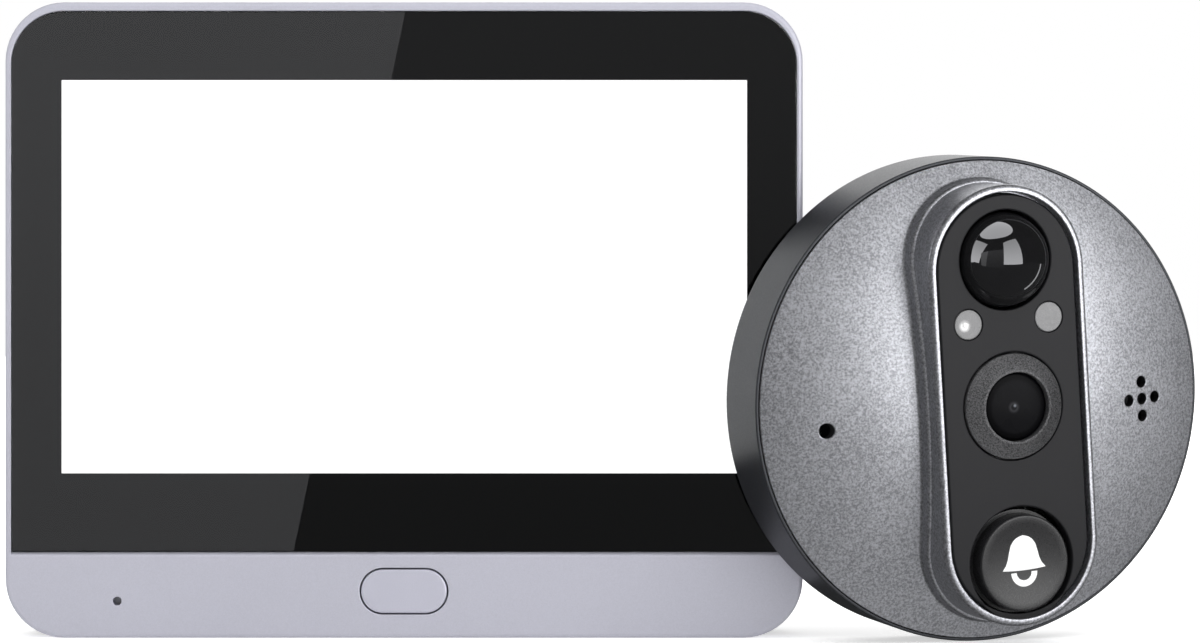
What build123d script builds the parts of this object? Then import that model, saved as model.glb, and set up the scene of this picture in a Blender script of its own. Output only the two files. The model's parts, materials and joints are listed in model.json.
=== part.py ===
from build123d import *

import os
from math import cos, radians, sin

# Video doorbell: a round camera unit for the outside of a door and the monitor that hangs inside it.
# The monitor stands on its bottom edge and faces -Y, with +X to the right and +Z up. The camera unit
# stands on its rim at the right, turned outwards and leaning forwards. The origin is the middle of
# the monitor's bottom face.

os.makedirs("parts", exist_ok=True)

# Display: the lit area of a 4.3 inch panel, and the black borders and the frame round it
SCREEN_W, SCREEN_H = 95.0, 54.5
BORDER_SIDE, BORDER_TOP, BORDER_LOW = 7.7, 10.75, 22.75
TRAY_SIDE, TRAY_ABOVE, TRAY_BELOW, TRAY_T, TRAY_WALL = 5.1, 5.95, 6.75, 3.2, 0.4
PANEL_T = 1.2

# Monitor, outside. Depths count backwards from its front plane, heights from its bottom face.
MON_T = 16.5
CORNER_R = 8.2
FRAME_T = 5.0
WALL = 1.8
FRONT_EDGE_R = 0.6
BACK_EDGE_R = 2.6
SEAM = 0.2

# Clearances
FIT = 0.05
GAP = 0.2
LOOSE = 0.4
PIN_GAP = 0.1

# Cover glass and the front frame's chin
GLASS_SIDE = 0.85
GLASS_TOP = 1.25
CHIN_H = 11.9
GLASS_CORNER_R = 7.3
GLASS_SET, GLASS_T, MASK_T = 0.1, 1.1, 0.15
GLASS_EDGE = 0.15
CHIN_WALL, CHIN_SIDE = 2.6, 0.8
CHIN_LIP = 0.45
TAB_W, TAB_T, TAB_L, TAB_PITCH, TAB_COUNT = 8.0, 1.0, 2.5, 30.0, 3

# Round hole and long button in the chin
CHIN_MIC_IN, CHIN_MIC_Z, CHIN_MIC_R = 7.3, 5.1, 0.6
VIEW_W, VIEW_H, VIEW_Z = 11.9, 6.05, 6.47
VIEW_EDGE_R = 0.3
VIEW_FLANGE, VIEW_FLANGE_T = 1.2, 0.8
VIEW_TRAVEL = 0.5
TACT, TACT_CORNER_R, TACT_PIN_R, TACT_PIN_H = 6.0, 0.6, 1.6, 0.6

# Monitor's circuit board and what stands on it
BOARD_GAP, BOARD_T = 1.65, 1.2
BOARD_SIDE, BOARD_BOTTOM, BOARD_TOP = 2.4, 1.5, 5.0
STANDOFF_R, STANDOFF_SIDE, STANDOFF_LOW, STANDOFF_HIGH = 2.6, 6.0, 14.7, 5.2
SCREW_HEAD_R, SCREW_HEAD_T, SCREW_R, SCREW_L = 1.9, 1.0, 0.85, 4.5
SCREW_EDGE_R = 0.35
SHIELD_W, SHIELD_H, SHIELD_T, SHIELD_WALL = 24.0, 20.0, 1.3, 0.25
SHIELD_X, SHIELD_UP = 20.0, 13.75
CHIP_T = 0.9
# Each chip's place from the board's middle, with its width and height
CHIPS = ((-22.0, 15.75, 12.0, 12.0), (-22.0, -4.25, 9.0, 12.0), (4.0, -16.25, 7.0, 5.0))
BATTERY_SIDE, BATTERY_ABOVE, BATTERY_BELOW, BATTERY_BACK = 1.6, 7.7, 3.5, 0.85
BATTERY_R, BATTERY_EDGE_R = 2.0, 1.0
SPEAKER_W, SPEAKER_L, SPEAKER_T = 11.0, 26.0, 4.0
SPEAKER_SIDE, SPEAKER_GAP, SPEAKER_Z = 1.6, 2.4, 37.0
GRILLE_R, GRILLE_PITCH, GRILLE_COLUMNS, GRILLE_ROWS = 0.75, 3.0, 3, 7
ANTENNA_W, ANTENNA_H, ANTENNA_T, ANTENNA_DROP = 30.0, 5.0, 0.3, 7.7
MIC_R = 2.0

# Left side of the monitor: slide switch, charging socket, card slot and reset hole
KNOB_Z, KNOB_L, KNOB_W, KNOB_OUT, KNOB_TRAVEL = 61.0, 5.0, 2.2, 0.6, 2.0
KNOB_FLANGE, KNOB_FLANGE_T = 0.6, 0.8
KNOB_GROOVES, KNOB_GROOVE_W, KNOB_GROOVE_D = 3, 0.5, 0.25
SWITCH_L, SWITCH_W, SWITCH_D = 10.0, 4.0, 6.0
CHARGE_Z, CHARGE_L, CHARGE_W, CHARGE_D, CHARGE_WALL, CHARGE_SET = 45.0, 8.9, 3.2, 7.4, 0.35, 0.9
TONGUE_L, TONGUE_W, TONGUE_D = 6.4, 0.7, 5.0
CARD_ABOVE, CARD_L, CARD_W, CARD_D, CARD_WALL = 1.3, 12.2, 1.9, 12.0, 0.4
RESET_Z, RESET, RESET_T, RESET_R = 14.0, 3.5, 1.6, 0.6

# Screws that close the monitor, in its bottom corners
CASE_SCREW_IN, CASE_SCREW_UP = 6.4, 5.2
CASE_POST_R, CASE_HEAD_R, CASE_HEAD_T, CASE_BORE = 3.2, 2.1, 1.4, 4.5

# Steel bracket that hangs in the recess on the monitor's back
PLATE_LOW, PLATE_TOP, PLATE_T, PLATE_R = 20.0, 18.0, 1.5, 4.0
RECESS_D, RECESS_WALL, RECESS_R = 1.45, 1.6, 4.5
HOOK_W, HOOK_RISE, HOOK_SIDE = 6.0, 4.0, 7.0
HOOK_LOW, HOOK_HIGH = 13.0, 9.0
HOOK_WINDOW = 7.0
PLATE_GAP = 0.6
UNHOOK = 4.6
DOOR_SCREW_R, DOOR_SCREW_SIDE, DOOR_SCREW_END = 2.1, 3.5, 5.0
BOLT_HOLE_R = 1.7
CABLE_UP, CABLE_W, CABLE_H, CABLE_CORNER_R = 12.0, 4.6, 14.0, 1.5
SOCKET_W, SOCKET_H, SOCKET_SET = 10.0, 14.0, 2.25
SOCKET_SLOT_W, SOCKET_SLOT_H, SOCKET_SLOT_D = 1.8, 11.5, 3.5

# Camera unit, outside. Heights here count outwards from its back plane.
UNIT_ASIDE, UNIT_DEPTH = 20.1, 4.0
TURN, LEAN, ROLL = 20.0, 3.8, 5.3
UNIT_R, RIM_H = 33.2, 11.1
RIM_EDGE_R, BACK_RIM_R = 0.35, 0.9
CUP_WALL, CUP_FLOOR = 2.3, 2.0
REBATE, REBATE_D = 0.9, 1.7
SHELL_GAP = 0.22
DOME_RISE, SHELL_T = 3.0, 1.6
SHELL_EDGE_R = 0.3
GASKET_T = 0.4

# Raised capsule on the camera unit's face. Its rises count from the rim.
LIP_RISE, LIP_END, LIP_W = 10.5, 2.28, 22.9
LIP_WALL, LIP_EDGE_R = 0.75, 0.3
SHOULDER_RISE, SHOULDER_OUT, SHOULDER_R, FLARE_R = 6.3, 0.6, 0.5, 1.1
PANEL_SET, FACE_T, PANEL_GAP = 0.5, 1.5, 0.12
LEDGE_SIDE, LEDGE_END = 0.8, 0.4
FACE_POST_IN, FACE_POST_BELOW, FACE_POST_ABOVE, FACE_POST_R = 1.8, 4.3, 11.0, 1.1

# Circuit board behind the capsule, with the parts that look out of it
FRONT_BOARD_DROP, FRONT_BOARD_T = 7.6, 1.2
PIR_END, PIR_R, PIR_SKIN, PIR_RING, PIR_PROUD = 1.4, 6.45, 0.95, 0.25, 4.9
PIR_FLANGE, PIR_FLANGE_T = 1.1, 0.8
PIR_CAN_R, PIR_CAN_H, PIR_BASE_R, PIR_BASE_T = 3.9, 3.6, 4.5, 0.5
LAMP_U, LAMP_DROP, LAMP_R, LAMP_T, LAMP_STEP = 5.95, 8.2, 2.05, 1.5, 0.55
LAMP_SET = 0.05
LED_L, LED_W, LED_T = 3.2, 2.8, 1.4
RING_R, RING_RISE, RING_LAND, RING_EDGE_R = 7.1, 1.1, 0.35, 0.12
RING_FLANGE, RING_FLANGE_T = 1.15, 1.2
RING_PROUD = 0.2
LENS_R, LENS_T, LENS_BULGE, LENS_GAP = 4.5, 1.1, 0.5, 0.15
MODULE, MODULE_T, MODULE_EDGE = 12.0, 5.0, 0.8
BELL_END, BELL_R, BELL_PROUD, BELL_RING, BELL_STEP = 0.35, 6.45, 0.9, 1.15, 0.65
BELL_EDGE_R = 0.35
BELL_STEP_H, BELL_BOTTOM = 1.6, 3.2
BELL_EAR_GAP, BELL_EAR_W, BELL_EAR_T = 1.3, 3.0, 1.0
BELL_TRAVEL = 0.8
ICON_T, ICON_W, ICON_TOP = 0.3, 6.0, 3.7
ICON_BRIM, ICON_SAG = -0.85, 0.2
CLAPPER_R, CLAPPER_T, CLAPPER_GAP = 1.95, 0.85, 0.2
# Points on the bell's flank, as shares of its half width and of its height
BELL_FLANK = ((0.8, 0.21), (0.68, 0.48), (0.58, 0.77))

# Round board at the back of the camera unit
DOOR_BOARD_H, DOOR_BOARD_T, DOOR_BOARD_RIM = 6.2, 1.2, 1.9
POST_RING_R, POST_R, POST_COUNT, POST_TURN = 18.0, 2.2, 4, 45.0
FACE_SCREW_RIM, FACE_SCREW_POST_R, FACE_SCREW_ANGLE = 1.08, 2.6, 42.0
FACE_HEAD_SINK = 1.0
SPEAKER_RIM, SIDE_V = 0.18, -1.75
DOOR_SPEAKER_R, DOOR_SPEAKER_T, COLLAR_WALL, COLLAR_GAP = 6.7, 2.4, 0.9, 0.1
HOLE_R, HOLE_PITCH, HOLES_ROUND, DOOR_MIC_HOLE_R = 0.73, 2.35, 4, 0.95
DOOR_MIC_R, DOOR_MIC_T = 2.2, 1.5
BOOT_R, BOOT_BORE_R = 2.6, 1.0

# Metal boss that reaches into the door, and the foam ring round it
BOSS_R, BOSS_L, BOSS_EDGE, BOSS_FLANGE, BOSS_FLANGE_T = 7.4, 12.0, 0.4, 4.6, 2.0
INSERT_WALL, INSERT_R, INSERT_BORE_R, INSERT_L = 0.5, 1.9, 1.25, 8.0
OUTLET_WALL, OUTLET_H, OUTLET_CORNER_R = 0.9, 11.0, 0.5
BOSS_SCREW_COUNT, BOSS_SCREW_TURN, BOSS_SCREW_DEPTH = 3, 90.0, 1.0
PAD_IN, PAD_OUT, PAD_T, PAD_SINK = 3.6, 1.7, 1.0, 0.6
LINK_L, LINK_W, LINK_DROP = 10.0, 2.6, 7.7

# Monitor's outline and depths, worked out from the sizes above
MON_W = SCREEN_W + 2 * BORDER_SIDE
MON_H = SCREEN_H + BORDER_TOP + BORDER_LOW
screen_z = BORDER_LOW + SCREEN_H / 2
tray_w, tray_h = SCREEN_W + 2 * TRAY_SIDE, SCREEN_H + TRAY_ABOVE + TRAY_BELOW
tray_z = BORDER_LOW - TRAY_BELOW + tray_h / 2
glass_back = GLASS_SET + GLASS_T
ledge = glass_back + MASK_T
tray_front = ledge + GAP
board_front = tray_front + TRAY_T + BOARD_GAP
board_back = board_front + BOARD_T
rear_inside = MON_T - WALL
recess_floor = MON_T - RECESS_D
pad_inside = recess_floor - RECESS_WALL
glass_h = MON_H - GLASS_TOP - CHIN_H
glass_z = CHIN_H + glass_h / 2
inner_w = MON_W - 2 * WALL
board_w = inner_w - 2 * BOARD_SIDE
board_low = WALL + BOARD_BOTTOM
board_high = MON_H - WALL - BOARD_TOP
board_z = (board_low + board_high) / 2

# Places inside the monitor and on its bracket
standoff_x = board_w / 2 - STANDOFF_SIDE
standoff_low, standoff_high = board_low + STANDOFF_LOW, board_high - STANDOFF_HIGH
case_screw_x, case_screw_z = inner_w / 2 - CASE_SCREW_IN, WALL + CASE_SCREW_UP
chin_mic_x = CHIN_MIC_IN - case_screw_x
speaker_x = inner_w / 2 - SPEAKER_SIDE - SPEAKER_W / 2
plate_w = 2 * (speaker_x - SPEAKER_W / 2 - SPEAKER_GAP - WALL - PLATE_GAP)
plate_high = MON_H - PLATE_TOP
plate_h, plate_z = plate_high - PLATE_LOW, (plate_high + PLATE_LOW) / 2
hook_x = plate_w / 2 - HOOK_SIDE
slot_w = HOOK_W + 2 * LOOSE
hooks = [(x, z) for x in (-hook_x, hook_x) for z in (PLATE_LOW + HOOK_LOW, plate_high - HOOK_HIGH)]
door_screw_dx = 2 * (hook_x - slot_w / 2 - DOOR_SCREW_SIDE - DOOR_SCREW_R)
door_screw_dz = plate_h - 2 * DOOR_SCREW_END
cable_z = PLATE_LOW + CABLE_UP
socket_t = recess_floor - board_back - SOCKET_SET
battery_w = 2 * (hook_x - slot_w / 2 - BATTERY_SIDE)
battery_low = cable_z + SOCKET_H / 2 + BATTERY_BELOW
battery_high = MON_H - WALL - BATTERY_ABOVE
battery_t = pad_inside - board_back - BATTERY_BACK
card_z = standoff_low + STANDOFF_R + CARD_ABOVE + CARD_L / 2
insert_u = BOSS_R - INSERT_WALL - INSERT_R


def facing(depth):
    """Plane that faces the viewer, this far behind the monitor's front plane."""
    return Plane.XZ.offset(MON_T / 2 - depth)


def leftward(x):
    """Plane across X, with Y to its right and Z up."""
    return Plane.YZ.offset(x)


def depth_y(depth):
    return depth - MON_T / 2


def outline(inset, z_mid=MON_H / 2):
    """The monitor's outline, drawn in by inset."""
    with Locations((0, z_mid)):
        RectangleRounded(MON_W - 2 * inset, MON_H - 2 * inset, CORNER_R - inset)


def glass_outline(grow):
    """The cover glass's outline, which is round at the top and square at the chin."""
    with Locations((0, glass_z)):
        Rectangle(MON_W - 2 * GLASS_SIDE + 2 * grow, glass_h + 2 * grow)
    fillet(vertices().group_by(Axis.Y)[-1], GLASS_CORNER_R + grow)


def screws(plane, points, head_r, head_t, length):
    """Pan head screws whose heads stand on the plane and whose shanks run behind it."""
    outwards = Axis(plane.origin, plane.z_dir)
    with BuildPart() as made:
        with BuildSketch(plane):
            with Locations(*points):
                Circle(head_r)
        extrude(amount=head_t)
        fillet(made.edges().filter_by(GeomType.CIRCLE).group_by(outwards)[-1], SCREW_EDGE_R)
        with BuildSketch(plane):
            with Locations(*points):
                Circle(SCREW_R)
        extrude(amount=-length)
    return made


# Front frame of the monitor, with the chin
case_screws = [(-case_screw_x, case_screw_z), (case_screw_x, case_screw_z)]
with BuildPart() as front_frame:
    with BuildSketch(facing(FRAME_T)):
        outline(0)
    extrude(amount=FRAME_T)
    fillet(front_frame.faces().sort_by(Axis.Y)[0].edges(), FRONT_EDGE_R)
    chamfer(front_frame.faces().sort_by(Axis.Y)[-1].edges(), SEAM)
    # Seat of the glass
    with BuildSketch(facing(ledge)):
        glass_outline(FIT)
    extrude(amount=ledge, mode=Mode.SUBTRACT)
    level = front_frame.edges().filter_by(Axis.X)
    chin_top = level.filter_by_position(Axis.Z, CHIN_H - 2 * FIT, CHIN_H).sort_by(Axis.Y)[0]
    chamfer(chin_top, CHIN_LIP)
    # Room for the display's tray, and the hollow of the chin
    with BuildSketch(facing(FRAME_T)):
        with Locations((0, tray_z)):
            Rectangle(tray_w + 2 * GAP, tray_h + 2 * GAP)
    extrude(amount=FRAME_T - ledge, mode=Mode.SUBTRACT)
    tray_low = tray_z - tray_h / 2 - GAP
    with BuildSketch(facing(FRAME_T)):
        with Locations((0, (WALL + tray_low) / 2)):
            RectangleRounded(inner_w - 2 * CHIN_SIDE, tray_low - WALL + FIT, CORNER_R - WALL - FIT)
    extrude(amount=FRAME_T - CHIN_WALL, mode=Mode.SUBTRACT)
    # Posts for the case screws
    with BuildSketch(facing(FRAME_T)):
        with Locations(*case_screws):
            Circle(CASE_POST_R)
            Circle(SCREW_R + FIT, mode=Mode.SUBTRACT)
    extrude(amount=FRAME_T - CHIN_WALL)
    # Tabs that hook under the housing's top wall
    with BuildSketch(facing(FRAME_T)):
        with Locations((0, MON_H - WALL - GAP - TAB_T / 2)):
            with GridLocations(TAB_PITCH, 0, TAB_COUNT, 1):
                Rectangle(TAB_W, TAB_T)
    extrude(amount=-TAB_L)
    # Holes for the long button and the microphone
    with BuildSketch(facing(FRAME_T)):
        with Locations((0, VIEW_Z)):
            SlotOverall(VIEW_W + 2 * GAP, VIEW_H + 2 * GAP)
        with Locations((chin_mic_x, CHIN_MIC_Z)):
            Circle(CHIN_MIC_R)
    extrude(amount=FRAME_T, mode=Mode.SUBTRACT)
front_frame.part.label = "front_frame"
export_step(front_frame.part, "parts/front_frame.step")

# Cover glass, and the black print on its back with the screen's window
with BuildPart() as cover_glass:
    with BuildSketch(facing(glass_back)):
        glass_outline(0)
    extrude(amount=GLASS_T)
    chamfer(cover_glass.faces().sort_by(Axis.Y)[0].edges(), GLASS_EDGE)
cover_glass.part.label = "cover_glass"
export_step(cover_glass.part, "parts/cover_glass.step")

with BuildPart() as glass_mask:
    with BuildSketch(facing(ledge)):
        glass_outline(0)
        with Locations((0, screen_z)):
            Rectangle(SCREEN_W, SCREEN_H, mode=Mode.SUBTRACT)
    extrude(amount=MASK_T)
glass_mask.part.label = "glass_mask"
export_step(glass_mask.part, "parts/glass_mask.step")

# Liquid crystal panel in its steel tray with the backlight
with BuildPart() as backlight_tray:
    with BuildSketch(facing(tray_front + TRAY_T)):
        with Locations((0, tray_z)):
            Rectangle(tray_w, tray_h)
    extrude(amount=TRAY_T)
    with BuildSketch(facing(tray_front + PANEL_T)):
        with Locations((0, tray_z)):
            Rectangle(tray_w - 2 * TRAY_WALL, tray_h - 2 * TRAY_WALL)
    extrude(amount=PANEL_T, mode=Mode.SUBTRACT)
backlight_tray.part.label = "backlight_tray"
export_step(backlight_tray.part, "parts/backlight_tray.step")

with BuildPart() as lcd_panel:
    with BuildSketch(facing(tray_front + PANEL_T)):
        with Locations((0, tray_z)):
            Rectangle(tray_w - 2 * (TRAY_WALL + FIT), tray_h - 2 * (TRAY_WALL + FIT))
    extrude(amount=PANEL_T)
lcd_panel.part.label = "lcd_panel"
export_step(lcd_panel.part, "parts/lcd_panel.step")

# Long button in the chin and the switch behind it
with BuildPart() as view_button:
    with BuildSketch(facing(CHIN_WALL + GAP)):
        with Locations((0, VIEW_Z)):
            SlotOverall(VIEW_W, VIEW_H)
    extrude(amount=CHIN_WALL + GAP)
    fillet(view_button.faces().sort_by(Axis.Y)[0].edges(), VIEW_EDGE_R)
    with BuildSketch(facing(CHIN_WALL + GAP)):
        with Locations((0, VIEW_Z)):
            SlotOverall(VIEW_W + 2 * VIEW_FLANGE, VIEW_H + 2 * VIEW_FLANGE)
    extrude(amount=-VIEW_FLANGE_T)
view_button.part.label = "view_button"
export_step(view_button.part, "parts/view_button.step")

view_back = CHIN_WALL + GAP + VIEW_FLANGE_T
pin_front = view_back + VIEW_TRAVEL + PIN_GAP
with BuildPart() as view_switch:
    with BuildSketch(facing(board_front)):
        with Locations((0, VIEW_Z)):
            RectangleRounded(TACT, TACT, TACT_CORNER_R)
    extrude(amount=board_front - pin_front - TACT_PIN_H)
    with BuildSketch(facing(board_front)):
        with Locations((0, VIEW_Z)):
            Circle(TACT_PIN_R)
    extrude(amount=board_front - pin_front)
view_switch.part.label = "view_switch"
export_step(view_switch.part, "parts/view_switch.step")

# Circuit board of the monitor
standoffs = [(x, z) for x in (-standoff_x, standoff_x) for z in (standoff_low, standoff_high)]
with BuildPart() as main_board:
    with BuildSketch(facing(board_back)):
        with Locations((0, board_z)):
            RectangleRounded(board_w, board_high - board_low, CORNER_R - WALL - BOARD_BOTTOM)
        with Locations(*case_screws):
            Circle(CASE_POST_R + LOOSE, mode=Mode.SUBTRACT)
        with Locations(*standoffs):
            Circle(SCREW_R + GAP, mode=Mode.SUBTRACT)
    extrude(amount=BOARD_T)
main_board.part.label = "main_board"
export_step(main_board.part, "parts/main_board.step")

with BuildPart() as board_shield:
    with BuildSketch(facing(board_front)):
        with Locations((SHIELD_X, board_z + SHIELD_UP)):
            Rectangle(SHIELD_W, SHIELD_H)
    extrude(amount=SHIELD_T)
    with BuildSketch(facing(board_front)):
        with Locations((SHIELD_X, board_z + SHIELD_UP)):
            Rectangle(SHIELD_W - 2 * SHIELD_WALL, SHIELD_H - 2 * SHIELD_WALL)
    extrude(amount=SHIELD_T - SHIELD_WALL, mode=Mode.SUBTRACT)
board_shield.part.label = "board_shield"
export_step(board_shield.part, "parts/board_shield.step")

with BuildPart() as board_chips:
    with BuildSketch(facing(board_front)):
        for x, up, width, height in CHIPS:
            with Locations((x, board_z + up)):
                Rectangle(width, height)
    extrude(amount=CHIP_T)
board_chips.part.label = "board_chips"
export_step(board_chips.part, "parts/board_chips.step")

board_screws = screws(facing(board_front), standoffs, SCREW_HEAD_R, SCREW_HEAD_T, SCREW_L)
board_screws.part.label = "board_screws"
export_step(board_screws.part, "parts/board_screws.step")

with BuildPart() as indoor_microphone:
    with BuildSketch(facing(board_front)):
        with Locations((chin_mic_x, CHIN_MIC_Z)):
            Circle(MIC_R)
    extrude(amount=board_front - CHIN_WALL - GAP)
indoor_microphone.part.label = "indoor_microphone"
export_step(indoor_microphone.part, "parts/indoor_microphone.step")

# Battery, stuck to the inside of the recess
with BuildPart() as battery:
    with BuildSketch(facing(pad_inside)):
        with Locations((0, (battery_low + battery_high) / 2)):
            RectangleRounded(battery_w, battery_high - battery_low, BATTERY_R)
    extrude(amount=battery_t)
    fillet(battery.edges().filter_by(Axis.Y, reverse=True).group_by(Axis.Y)[0], BATTERY_EDGE_R)
battery.part.label = "battery"
export_step(battery.part, "parts/battery.step")

with BuildPart() as indoor_speaker:
    with BuildSketch(facing(rear_inside)):
        with Locations((speaker_x, SPEAKER_Z)):
            SlotOverall(SPEAKER_L, SPEAKER_W, rotation=90)
    extrude(amount=SPEAKER_T)
indoor_speaker.part.label = "indoor_speaker"
export_step(indoor_speaker.part, "parts/indoor_speaker.step")

with BuildPart() as wifi_antenna:
    with BuildSketch(facing(rear_inside)):
        with Locations((0, MON_H - WALL - ANTENNA_DROP)):
            Rectangle(ANTENNA_W, ANTENNA_H)
    extrude(amount=ANTENNA_T)
wifi_antenna.part.label = "wifi_antenna"
export_step(wifi_antenna.part, "parts/wifi_antenna.step")

# Socket for the camera unit's ribbon cable
with BuildPart() as ribbon_socket:
    with BuildSketch(facing(board_back)):
        with Locations((0, cable_z)):
            Rectangle(SOCKET_W, SOCKET_H)
    extrude(amount=-socket_t)
    with BuildSketch(facing(board_back + socket_t)):
        with Locations((0, cable_z)):
            Rectangle(SOCKET_SLOT_W, SOCKET_SLOT_H)
    extrude(amount=SOCKET_SLOT_D, mode=Mode.SUBTRACT)
ribbon_socket.part.label = "ribbon_socket"
export_step(ribbon_socket.part, "parts/ribbon_socket.step")

# Pieces on the monitor's left side
left_face = -MON_W / 2
left_inside = left_face + WALL
side_y = depth_y(board_back + SWITCH_W / 2)
socket_y = depth_y(board_back + CHARGE_W / 2)
card_y = depth_y(board_back + CARD_W / 2)
reset_y = depth_y(board_back + RESET_T / 2)
flange_in = left_inside + GAP + KNOB_FLANGE_T

with BuildPart() as power_knob:
    with BuildSketch(leftward(left_face - KNOB_OUT)):
        with Locations((side_y, KNOB_Z)):
            Rectangle(KNOB_W, KNOB_L)
    extrude(amount=KNOB_OUT + WALL + GAP)
    with BuildSketch(leftward(left_inside + GAP)):
        with Locations((side_y, KNOB_Z)):
            Rectangle(KNOB_W + 2 * KNOB_FLANGE, KNOB_L + 2 * KNOB_FLANGE)
    extrude(amount=KNOB_FLANGE_T)
    with BuildSketch(leftward(left_face - KNOB_OUT)):
        with Locations((side_y, KNOB_Z)):
            with GridLocations(0, KNOB_L / (KNOB_GROOVES + 1), 1, KNOB_GROOVES):
                Rectangle(KNOB_W, KNOB_GROOVE_W)
    extrude(amount=KNOB_GROOVE_D, mode=Mode.SUBTRACT)
power_knob.part.label = "power_knob"
export_step(power_knob.part, "parts/power_knob.step")

with BuildPart() as power_switch:
    with BuildSketch(leftward(flange_in + GAP)):
        with Locations((side_y, KNOB_Z + KNOB_TRAVEL / 2)):
            Rectangle(SWITCH_W, SWITCH_L)
    extrude(amount=SWITCH_D)
power_switch.part.label = "power_switch"
export_step(power_switch.part, "parts/power_switch.step")

charge_mouth = left_face + CHARGE_SET
with BuildPart() as charge_socket:
    with BuildSketch(leftward(charge_mouth)):
        with Locations((socket_y, CHARGE_Z)):
            SlotOverall(CHARGE_L, CHARGE_W, rotation=90)
    extrude(amount=CHARGE_D)
    with BuildSketch(leftward(charge_mouth)):
        with Locations((socket_y, CHARGE_Z)):
            SlotOverall(CHARGE_L - 2 * CHARGE_WALL, CHARGE_W - 2 * CHARGE_WALL, rotation=90)
    extrude(amount=CHARGE_D - CHARGE_WALL, mode=Mode.SUBTRACT)
    with BuildSketch(leftward(charge_mouth + CHARGE_D - TONGUE_D)):
        with Locations((socket_y, CHARGE_Z)):
            Rectangle(TONGUE_W, TONGUE_L)
    extrude(amount=TONGUE_D)
charge_socket.part.label = "charge_socket"
export_step(charge_socket.part, "parts/charge_socket.step")

with BuildPart() as card_socket:
    with BuildSketch(leftward(left_inside + GAP)):
        with Locations((card_y, card_z)):
            Rectangle(CARD_W, CARD_L)
    extrude(amount=CARD_D)
    with BuildSketch(leftward(left_inside + GAP)):
        with Locations((card_y, card_z)):
            Rectangle(CARD_W - 2 * CARD_WALL, CARD_L - 2 * CARD_WALL)
    extrude(amount=CARD_D - CARD_WALL, mode=Mode.SUBTRACT)
card_socket.part.label = "card_socket"
export_step(card_socket.part, "parts/card_socket.step")

with BuildPart() as reset_switch:
    with BuildSketch(leftward(left_inside + GAP)):
        with Locations((reset_y, RESET_Z)):
            Rectangle(RESET_T, RESET)
    extrude(amount=RESET)
reset_switch.part.label = "reset_switch"
export_step(reset_switch.part, "parts/reset_switch.step")

# Rear housing of the monitor
recess_low, recess_high = PLATE_LOW - UNHOOK - PLATE_GAP, plate_high + PLATE_GAP
recess_w = plate_w + 2 * PLATE_GAP
slot_high, slot_low = GAP, -PLATE_T - UNHOOK - GAP
with BuildPart() as rear_housing:
    with BuildSketch(facing(MON_T)):
        outline(0)
    extrude(amount=MON_T - FRAME_T)
    fillet(rear_housing.faces().sort_by(Axis.Y)[-1].edges(), BACK_EDGE_R)
    chamfer(rear_housing.faces().sort_by(Axis.Y)[0].edges(), SEAM)
    with BuildSketch(facing(rear_inside)):
        outline(WALL)
    extrude(amount=rear_inside - FRAME_T, mode=Mode.SUBTRACT)
    # Thicker floor round the recess, then the recess itself
    with BuildSketch(facing(rear_inside)):
        with Locations((0, (recess_low + recess_high) / 2)):
            RectangleRounded(recess_w + 2 * WALL, recess_high - recess_low + 2 * WALL, RECESS_R)
    extrude(amount=rear_inside - pad_inside)
    with BuildSketch(facing(MON_T)):
        with Locations((0, (recess_low + recess_high) / 2)):
            RectangleRounded(recess_w, recess_high - recess_low, RECESS_R)
    extrude(amount=RECESS_D, mode=Mode.SUBTRACT)
    # Slots for the bracket's hooks, the cable's opening and the speaker's grille
    with BuildSketch(facing(MON_T)):
        for x, z in hooks:
            with Locations((x, z + (slot_high + slot_low) / 2)):
                Rectangle(slot_w, slot_high - slot_low)
        with Locations((0, cable_z)):
            Rectangle(SOCKET_W + 2 * LOOSE, SOCKET_H + 2 * LOOSE)
        with Locations((speaker_x, SPEAKER_Z)):
            with GridLocations(GRILLE_PITCH, GRILLE_PITCH, GRILLE_COLUMNS, GRILLE_ROWS):
                Circle(GRILLE_R)
    extrude(amount=MON_T - pad_inside, mode=Mode.SUBTRACT)
    # Standoffs for the board and posts for the case screws
    with BuildSketch(facing(rear_inside)):
        with Locations(*standoffs):
            Circle(STANDOFF_R)
    extrude(amount=rear_inside - board_back)
    with BuildSketch(facing(rear_inside)):
        with Locations(*case_screws):
            Circle(CASE_POST_R)
    extrude(amount=rear_inside - FRAME_T)
    with BuildSketch(facing(board_back)):
        with Locations(*standoffs):
            Circle(SCREW_R + FIT)
    extrude(amount=-SCREW_L, mode=Mode.SUBTRACT)
    with BuildSketch(facing(MON_T)):
        with Locations(*case_screws):
            Circle(SCREW_R + FIT)
    extrude(amount=MON_T - FRAME_T, mode=Mode.SUBTRACT)
    with BuildSketch(facing(MON_T)):
        with Locations(*case_screws):
            Circle(CASE_HEAD_R + GAP)
    extrude(amount=CASE_BORE, mode=Mode.SUBTRACT)
    # Openings in the left wall
    with BuildSketch(leftward(left_face)):
        with Locations((side_y, KNOB_Z + KNOB_TRAVEL / 2)):
            Rectangle(KNOB_W + 2 * GAP, KNOB_L + KNOB_TRAVEL + 2 * GAP)
        with Locations((socket_y, CHARGE_Z)):
            SlotOverall(CHARGE_L + 2 * GAP, CHARGE_W + 2 * GAP, rotation=90)
        with Locations((card_y, card_z)):
            Rectangle(CARD_W - 2 * CARD_WALL, CARD_L - 2 * CARD_WALL)
        with Locations((reset_y, RESET_Z)):
            Circle(RESET_R)
    extrude(amount=WALL + FIT, mode=Mode.SUBTRACT)
rear_housing.part.label = "rear_housing"
export_step(rear_housing.part, "parts/rear_housing.step")

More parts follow.
